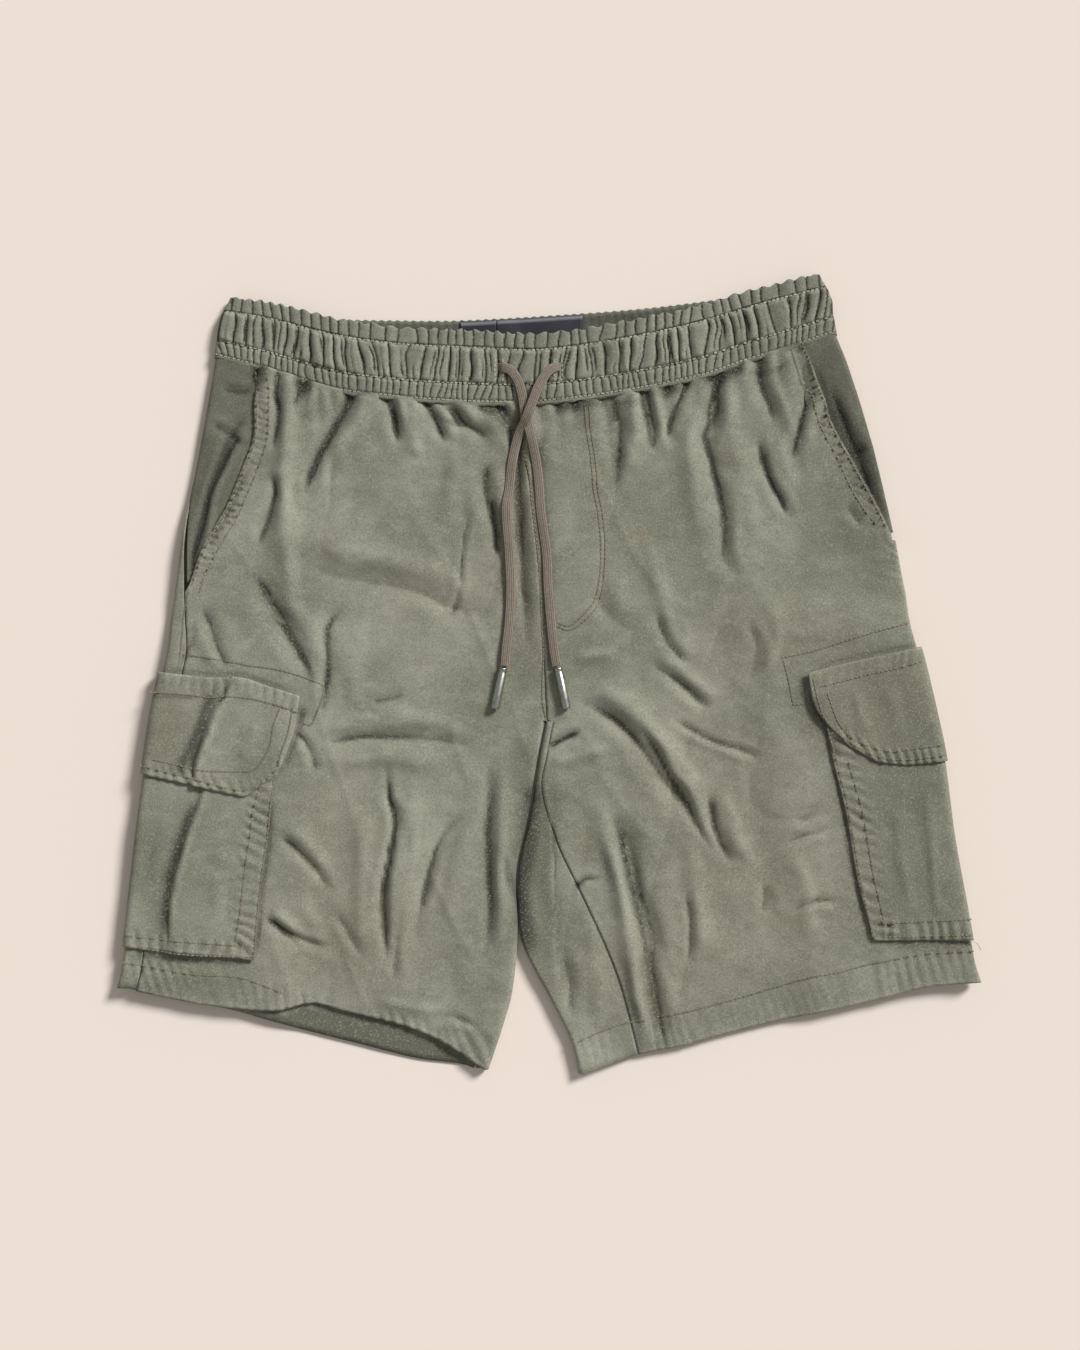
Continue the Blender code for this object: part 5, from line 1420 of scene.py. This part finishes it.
def waistband_front(cloth):
    """Gathered front of the band, folded back at both sides."""
    rows = []
    for share in np.linspace(0, 1, BAND_ROWS):
        start = blend(BAND_TOP[0][1], BAND_BOTTOM[0][1], share)
        end = blend(BAND_TOP[-1][1], BAND_BOTTOM[-1][1], share)
        left_x = smooth(BAND_ENDS["left"], start) + FOLD_RADIUS
        right_x = smooth(BAND_ENDS["right"], end) - FOLD_RADIUS
        x = np.linspace(left_x, right_x, BAND_COLUMNS)
        y = blend(smooth(BAND_TOP, x), smooth(BAND_BOTTOM, x), share)
        z = band_mid(x, y)
        lower_edge = 0.4 * band_edge(x + 3) * ease((share - 0.9) / 0.1)
        y = y + band_edge(x) * max(0.0, 1 - share / 0.15) - lower_edge
        rows.append(np.column_stack((x, y, z)))
    mesh, grid = sheet_mesh(np.array(rows))
    for column, sign in ((0, -1), (-1, 1)):
        run = run_of(grid, column)
        at = plan_of(run)
        middle = (at[:, 2] + BAND_BACK_MID) / 2
        half = at[:, 2] - middle
        columns_out = []
        for angle in np.linspace(math.pi / 3, -math.pi / 2, 6):
            columns_out.append(np.column_stack((at[:, 0] + sign * FOLD_RADIUS * math.cos(angle),
                                                at[:, 1], middle + half * math.sin(angle))))
        columns_out.append(np.column_stack((at[:, 0] - sign * 6.0, at[:, 1],
                                            0 * middle + BAND_BACK_MID)))
        extend(mesh, run, columns_out)

    # painted highlight on the ridges of the gathers, and real wear along the band's top edge
    def wear_and_highlight(x, y, z):
        ridge = -hollowness(band_mid, x, y, 1.5) / 1.5
        edge = np.exp(-(band_share(x, y) / 0.03) ** 2)
        return np.clip(2.7 * ridge + 0.4 * edge, 0, 1) * (0.7 + 0.3 * rough(x, y, 6, 54))

    # painted shade in the hollows of the gathers and in the buttonhole slits
    def shade(x, y, z):
        small = hollowness(band_mid, x, y, 1.5) / 1.5
        large = hollowness(band_mid, x, y, 3.6) / 3.6
        slits = sum(np.exp(-((x - at_x) / 1.5) ** 2) * plateau(y, at_y - 7, at_y + 6, 2)
                    for at_x, at_y in BUTTONHOLES)
        return np.clip(4.2 * small + 3.4 * large - 0.05 + 1.2 * slits * (z > BAND_MID), 0, 1.15)

    marks = dict(wear_and_highlight=wear_and_highlight, shade=shade, brown=brown_spots, tone_and_shade=wash_tone_and_shade)
    return cloth_object("waistband_front_half", mesh, BAND_WALL, cloth, marks)


def waistband_back(cloth):
    """Back of the band; its ribbed inside shows above the front's top edge."""
    wrap = FOLD_RADIUS + 6.3
    rows = []
    for share in np.linspace(0, 1, 22):
        left_x = smooth(BAND_ENDS["left"], blend(258, 221, share)) + wrap
        right_x = smooth(BAND_ENDS["right"], blend(274, 237, share)) - wrap
        x = np.linspace(left_x, right_x, 300)
        y = blend(smooth(BACK_TOP, x), smooth(BAND_BOTTOM, x), share)
        ribs = 0.7 * np.abs(np.sin(x * math.pi / 5.6 + 1.3 * rough(x, y, 20, 61))) - 0.2
        held = 0.6 * np.exp(-((share - 0.12) / 0.03) ** 2)
        y = y + 0.5 * np.sin(x * 2 * math.pi / 5.6) * max(0.0, 1 - share / 0.1)
        rows.append(np.column_stack((x, y, BAND_BACK_MID + ribs * 0.8 - held)))
    mesh, _ = sheet_mesh(np.array(rows))
    marks = dict(wear_and_highlight=edge_wear((BACK_TOP,), 1.6), shade=lambda x, y, z: 0 * x,
                 brown=lambda x, y, z: 0 * x, tone_and_shade=lambda x, y, z: 0 * x)
    return cloth_object("waistband_back_half", mesh, BAND_WALL, cloth, marks)


def label(name, start, end, satin):
    """Bare woven label on the inside of the back."""
    rows = []
    for share in np.linspace(0, 1, 16):
        x = np.linspace(start, end, 40)
        wave = 0.35 * np.sin(x / 7.0) + 0.25 * rough(x, x * 0 + share * 20, 9, 63)
        rows.append(np.column_stack((x, smooth(BACK_TOP, x) - LABEL_TUCK - LABEL_DEPTH * share,
                                     LABEL_MID + wave)))
    mesh, _ = sheet_mesh(np.array(rows))

    def border(x, y, z):
        below = smooth(BACK_TOP, x) - LABEL_TUCK - y
        return 0.75 * np.exp(-((below - 1.6) / 0.5) ** 2)

    return cloth_object(name, mesh, 0.7, satin, dict(border=border))


# ---------------------------------------------------------------- stitching
def stitch_rows(name, paths, height, wall, thread, seed):
    """Short raised stitches along lines, lying on the cloth, all in one mesh."""
    random = np.random.default_rng(seed)
    mesh = bmesh.new()
    for path in paths:
        line = spline(path, STITCH_PITCH)
        ahead = np.gradient(line, axis=0)
        z = height(line[:, 0], line[:, 1]) + wall / 2
        slope_ahead = height(line[:, 0] + ahead[:, 0] / 3, line[:, 1] + ahead[:, 1] / 3) + wall / 2 - z
        for (x, y), (dx, dy), level, climb in zip(line, ahead, z, slope_ahead):
            length = math.hypot(dx, dy)
            way = Vector((dx / length, dy / length, float(climb) / (length / 3)))
            turn = way.to_track_quat("X", "Z").to_matrix().to_4x4()
            length_here = STITCH_LENGTH * random.uniform(*STITCH_UNEVEN)
            size = Matrix.Diagonal((length_here, THREAD, STITCH_HEIGHT, 1))
            place = Matrix.Translation(Vector((x, y, float(level) + STITCH_LIFT)) * MM)
            turn_small = Matrix.Rotation(random.uniform(-STITCH_TURN, STITCH_TURN), 4, "Z")
            bmesh.ops.create_cube(mesh, size=MM, matrix=place @ turn @ turn_small @ size)
    return finished(name, mesh, thread)


def band_line(share):
    """A line along the waistband at a share of its depth."""
    x = np.linspace(blend(-220, -231, share), blend(187, 200, share), 60)
    return np.column_stack((x, blend(smooth(BAND_TOP, x), smooth(BAND_BOTTOM, x), share)))


def buttonhole_sides():
    """Stitch lines at both sides of the two slits that the drawcord comes out of."""
    return [((x + aside, y - 7), (x + aside * 1.15, y), (x + aside, y + 6))
            for x, y in BUTTONHOLES for aside in (-2.6, 2.6)]


def finished(name, mesh, material, smooth_angle=None):
    data = bpy.data.meshes.new(name)
    mesh.to_mesh(data)
    mesh.free()
    made = bpy.data.objects.new(name, data)
    bpy.context.collection.objects.link(made)
    data.materials.append(material)
    if smooth_angle:
        data.shade_smooth()
        data.set_sharp_from_angle(angle=smooth_angle)
    return made


# ---------------------------------------------------------------- drawcord
def cloth_top(x, y):
    """Upper face of the cloth under the drawcord, band included."""
    on_band = ease((y - smooth(BAND_BOTTOM, x) + 14) / 12)
    return blend(front_mid(x, y) + WALL / 2, BAND_MID + BAND_WALL / 2 + 0.9, on_band)


def cord_points(route):
    line = spline([(x, y, up) for x, y, up in route], 1.2)
    top = cloth_top(line[:, 0], line[:, 1])
    window = np.ones(9) / 9
    padded = np.concatenate((top[:1].repeat(4), top, top[-1:].repeat(4)))
    top = np.convolve(padded, window, "valid")
    return np.column_stack((line[:, 0], line[:, 1], top + 0.25 + CORD_THICKNESS / 2 + line[:, 2]))


def sides_of(points):
    """Sideways and upward directions along a line of points."""
    ahead = np.gradient(points, axis=0)
    ahead /= np.linalg.norm(ahead, axis=1)[:, None]
    sideways = np.cross(np.array((0, 0, 1.0)), ahead)
    sideways /= np.linalg.norm(sideways, axis=1)[:, None]
    return sideways, np.cross(ahead, sideways)


def closed_tube(rows):
    """Mesh of a tube with closed ends, from the lines of points along it."""
    mesh, _ = sheet_mesh(np.array(rows))
    bmesh.ops.remove_doubles(mesh, verts=mesh.verts, dist=0.00001)
    bmesh.ops.holes_fill(mesh, edges=[edge for edge in mesh.edges if edge.is_boundary], sides=0)
    bmesh.ops.recalc_face_normals(mesh, faces=mesh.faces)
    return mesh


def drawcord(name, route, finish, seed):
    """Flat ribbed cord along its route."""
    points = cord_points(route)
    sideways, up = sides_of(points)
    lean = 0.12 * rough(points[:, 1], points[:, 0] * 0, 26, seed)[:, None]
    sideways, up = (sideways * np.cos(lean) + up * np.sin(lean),
                    up * np.cos(lean) - sideways * np.sin(lean))
    rows = []
    for number in range(CORD_AROUND + 1):
        angle = 2 * math.pi * number / CORD_AROUND
        across_part = math.copysign(abs(math.cos(angle)) ** 0.75, math.cos(angle))
        rise_part = math.copysign(abs(math.sin(angle)) ** 0.85, math.sin(angle))
        rib = 1 + 0.30 * abs(math.cos(across_part * math.pi * CORD_RIBS))
        rows.append(points + sideways * CORD_WIDTH / 2 * across_part
                    + up * (CORD_THICKNESS / 2 * 0.86) * rise_part * rib)
    made = finished(name, closed_tube(rows), finish, math.radians(60))
    data = made.data
    places = np.empty(len(data.vertices) * 3)
    data.vertices.foreach_get("co", places)
    places = places.reshape(-1, 3) / MM
    nearest_row = np.array([np.argmin(((points - place) ** 2).sum(axis=1)) for place in places])
    across_at = ((places - points[nearest_row]) * sideways[nearest_row]).sum(axis=1) / (CORD_WIDTH / 2)
    layer = data.attributes.new("rib", "FLOAT", "POINT")
    ribs = np.abs(np.cos(across_at * math.pi * CORD_RIBS))
    layer.data.foreach_set("value", ribs.astype(np.float32))
    return made, points


def metal_tip(name, start, end, metal):
    """Crimped metal tube on a cord's end: rolled lips, a crimp groove and an open mouth."""
    height = AGLET_RADIUS + 0.3
    lift = max(float(cloth_top(np.array([x]), np.array([y]))[0]) for x, y in (start, end)) + height
    axis = Vector((end[0] - start[0], end[1] - start[1], 0)).normalized()
    mesh = bmesh.new()
    ring = [mesh.verts.new((radius, 0, along)) for radius, along in TIP_PROFILE]
    edges = [mesh.edges.new(pair) for pair in zip(ring, ring[1:])]
    bmesh.ops.spin(mesh, geom=ring + edges, cent=(0, 0, 0), axis=(0, 0, 1), angle=2 * math.pi,
                   steps=36, use_merge=True)
    bmesh.ops.remove_doubles(mesh, verts=mesh.verts, dist=0.03)
    turn = Vector((0, 0, 1)).rotation_difference(axis).to_matrix().to_4x4()
    place = Matrix.Translation(Vector((*start, lift)) * MM) @ turn @ Matrix.Scale(MM, 4)
    bmesh.ops.transform(mesh, matrix=place, verts=mesh.verts)
    bmesh.ops.recalc_face_normals(mesh, faces=mesh.faces)
    return finished(name, mesh, metal, math.radians(50))


def loose_thread(thread):
    """Short white thread end at the foot of the right thigh pocket."""
    line = spline(((287, -180), (290, -184), (295, -185), (298, -187), (300, -191)), 0.8)
    z = front_mid(line[:, 0], line[:, 1]) + WALL + 1.6
    points = np.column_stack((line, z))
    sideways, up = sides_of(points)
    rows = [points + 0.4 * (sideways * math.cos(angle) + up * math.sin(angle))
            for angle in np.linspace(0, 2 * math.pi, 7)]
    return finished("loose_thread_end", closed_tube(rows), thread, math.radians(60))


# ---------------------------------------------------------------- view, light and cuts
def overhead_camera():
    camera_data = bpy.data.cameras.new("overhead view")
    camera_data.lens = CAMERA_LENS
    camera_data.sensor_width = CAMERA_SENSOR
    camera = bpy.data.objects.new("overhead view", camera_data)
    camera.location = CAMERA_AT
    bpy.context.collection.objects.link(camera)
    bpy.context.scene.camera = camera


def room_light():
    """Soft light of a window at the upper right, in a pale room."""
    sun_data = bpy.data.lights.new("window light", "SUN")
    sun_data.energy = SUN_POWER
    sun_data.angle = SUN_ANGLE
    sun = bpy.data.objects.new("window light", sun_data)
    sun.rotation_euler = Vector(SUN_TOWARDS).to_track_quat("Z", "Y").to_euler()
    bpy.context.collection.objects.link(sun)
    world = bpy.data.worlds.new("pale room")
    world.use_nodes = True
    background = world.node_tree.nodes["Background"]
    background.inputs["Color"].default_value = (1, 1, 1, 1)
    background.inputs["Strength"].default_value = ROOM_LIGHT
    bpy.context.scene.world = world
    bpy.context.scene.view_settings.view_transform = "Standard"


# width and length of each flat cut in metres, and how it is held
SHEETS = {
    "back_left": (0.30, 0.47, "laid"), "back_right": (0.36, 0.47, "laid"),
    "front_left": (0.27, 0.48, "laid"), "front_right": (0.27, 0.49, "laid"),
    "hip_facing_left": (0.05, 0.15, "laid"), "hip_facing_right": (0.06, 0.15, "laid"),
    "cargo_pocket_left": (0.17, 0.18, "folded"),
    "cargo_pocket_right": (0.16, 0.175, "folded"),
    "cargo_flap_left": (0.19, 0.075, "folded"),
    "cargo_flap_right": (0.17, 0.07, "folded"),
    "waistband_front": (0.54, 0.050, "gathered"),
    "waistband_back": (0.54, 0.055, "gathered"),
    "label_main": (0.060, 0.027, "laid"), "label_size": (0.0246, 0.027, "laid"),
}
# what each piece lies on
RESTS = {
    "front_left": "back_left", "front_right": "back_right", "hip_facing_left": "back_left",
    "hip_facing_right": "back_right", "cargo_pocket_left": "front_left",
    "cargo_pocket_right": "front_right", "cargo_flap_left": "cargo_pocket_left",
    "cargo_flap_right": "cargo_pocket_right", "waistband_front": "waistband_back",
    "label_main": "waistband_back", "label_size": "waistband_back",
}


def main():
    twill = washed_twill("washed twill, outside")
    band_cloth = washed_twill("washed twill, waistband", 0.84)
    inside_cloth = washed_twill("washed twill, inside", 0.9, inside=True)
    # a darker copy of the twill: painted shade on the pocket facings, which lie recessed under the
    # pocket mouths
    facing_cloth_in_shade = washed_twill("washed twill, pocket facing in painted shade", 0.58)
    thread = sewing_thread("sewing thread, tan", THREAD_TAN)
    brown_thread = sewing_thread("sewing thread, brown", THREAD_BROWN)
    white_thread = sewing_thread("loose thread, white", THREAD_WHITE)
    cord = ribbed_cord_finish()
    metal = worn_metal()
    satin = label_satin()

    overhead_camera()

    cords = {}
    for name, route, seed in (("cord_end_right", CORD_LEFT_HOLE, 71),
                              ("cord_end_left", CORD_RIGHT_HOLE, 72)):
        made, points = drawcord(name, route, cord, seed)
        cords[name] = (made, points)

    pieces = {}
    pieces["back_left"] = back_left(twill)
    pieces["back_right"] = back_right(twill)
    pieces["front_left"] = front_left(twill)
    pieces["front_right"] = front_right(twill)
    pieces["hip_facing_left"] = hip_facing("pocket_facing_left", LEFT,
                                           lambda y: smooth(SEAM_REACH_LEFT, y) + 1.4, facing_cloth_in_shade)
    pieces["hip_facing_right"] = hip_facing("pocket_facing_right", RIGHT,
                                            lambda y: 0 * y - QUARTER - SIDE_WRAP, facing_cloth_in_shade)
    pieces["cargo_pocket_left"] = cargo_piece(
        "thigh_pocket_left", LEFT, 1, POCKET_UNDER, POCKET_EDGE_LEFT, lambda x: 0 * x - 14.0,
        lambda x: blend(-189, -198, (x + 296) / 91), 92, pocket_mid, twill,
        (swap_ends(POCKET_EDGE_LEFT), ((-296, -189), (-205, -198)), swap_ends(SIDE_LEFT)))
    pieces["cargo_pocket_right"] = cargo_piece(
        "thigh_pocket_right", RIGHT, 1, POCKET_UNDER, POCKET_EDGE_RIGHT, lambda x: 0 * x - 10.0,
        lambda x: 0 * x - 184.5, 88, pocket_mid, twill,
        (swap_ends(POCKET_EDGE_RIGHT), ((226, -184), (299, -184)), swap_ends(SIDE_RIGHT)))
    pieces["cargo_flap_left"] = cargo_piece(
        "pocket_flap_left", LEFT, 2, FLAP_UNDER, FLAP_END_LEFT, lambda x: smooth(FLAP_TOP_LEFT, x),
        lambda x: np.interp(x, *np.array(FLAP_BOTTOM_LEFT).T), 44, flap_mid, twill,
        (FLAP_TOP_LEFT, FLAP_BOTTOM_LEFT, swap_ends(FLAP_END_LEFT)))
    pieces["cargo_flap_right"] = cargo_piece(
        "pocket_flap_right", RIGHT, 2, FLAP_UNDER, FLAP_END_RIGHT,
        lambda x: smooth(FLAP_TOP_RIGHT, x), lambda x: np.interp(x, *np.array(FLAP_BOTTOM_RIGHT).T),
        40, flap_mid, twill, (FLAP_TOP_RIGHT, FLAP_BOTTOM_RIGHT, swap_ends(FLAP_END_RIGHT)))
    pieces["waistband_front"] = waistband_front(band_cloth)
    pieces["waistband_back"] = waistband_back(inside_cloth)
    for row in LABELS:
        pieces[row[0]] = label("bare_" + row[0], row[1], row[2], satin)

    stitching = [
        stitch_rows("stitches_waistband", [band_line(at) for at in BAND_HELD] + buttonhole_sides(),
                    band_mid, BAND_WALL, thread, 81),
        stitch_rows("stitches_fronts", FRONT_STITCHES, front_mid, WALL, brown_thread, 82),
        stitch_rows("stitches_pockets", POCKET_STITCHES, pocket_mid, WALL, brown_thread, 83),
        stitch_rows("stitches_flaps", FLAP_STITCHES, flap_mid, WALL, brown_thread, 84),
        loose_thread(white_thread),
    ]
    for made in stitching:
        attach(made, "root")

    for node, made in pieces.items():
        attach(made, "root")
        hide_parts(node)
    for node, ends in (("aglet_left", AGLET_LEFT_AT), ("aglet_right", AGLET_RIGHT_AT)):
        made = metal_tip(node.replace("aglet", "metal_tip"), *ends, metal)
        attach(made, "root")
        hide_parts(node)

    for node, (width, length, held) in SHEETS.items():
        under = [pieces[RESTS[node]].name] if node in RESTS else []

    for name, node, tip in (("cord_end_right", "drawcord_left_hole", "aglet_right"),
                            ("cord_end_left", "drawcord_right_hole", "aglet_left")):
        made, points = cords[name]
        path = [tuple(point * MM) for point in points]
        length = float(np.linalg.norm(np.diff(points, axis=0), axis=1).sum()) * MM
        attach(made, "root")
        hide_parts(node)
        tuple(path[0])

    floor_mesh = bmesh.new()
    bmesh.ops.create_grid(floor_mesh, x_segments=4, y_segments=4, size=FLOOR_REACH,
                          matrix=Matrix.Translation((0, 0, FLOOR_Z)))
    finished("floor", floor_mesh, pale_floor())
    room_light()


main()
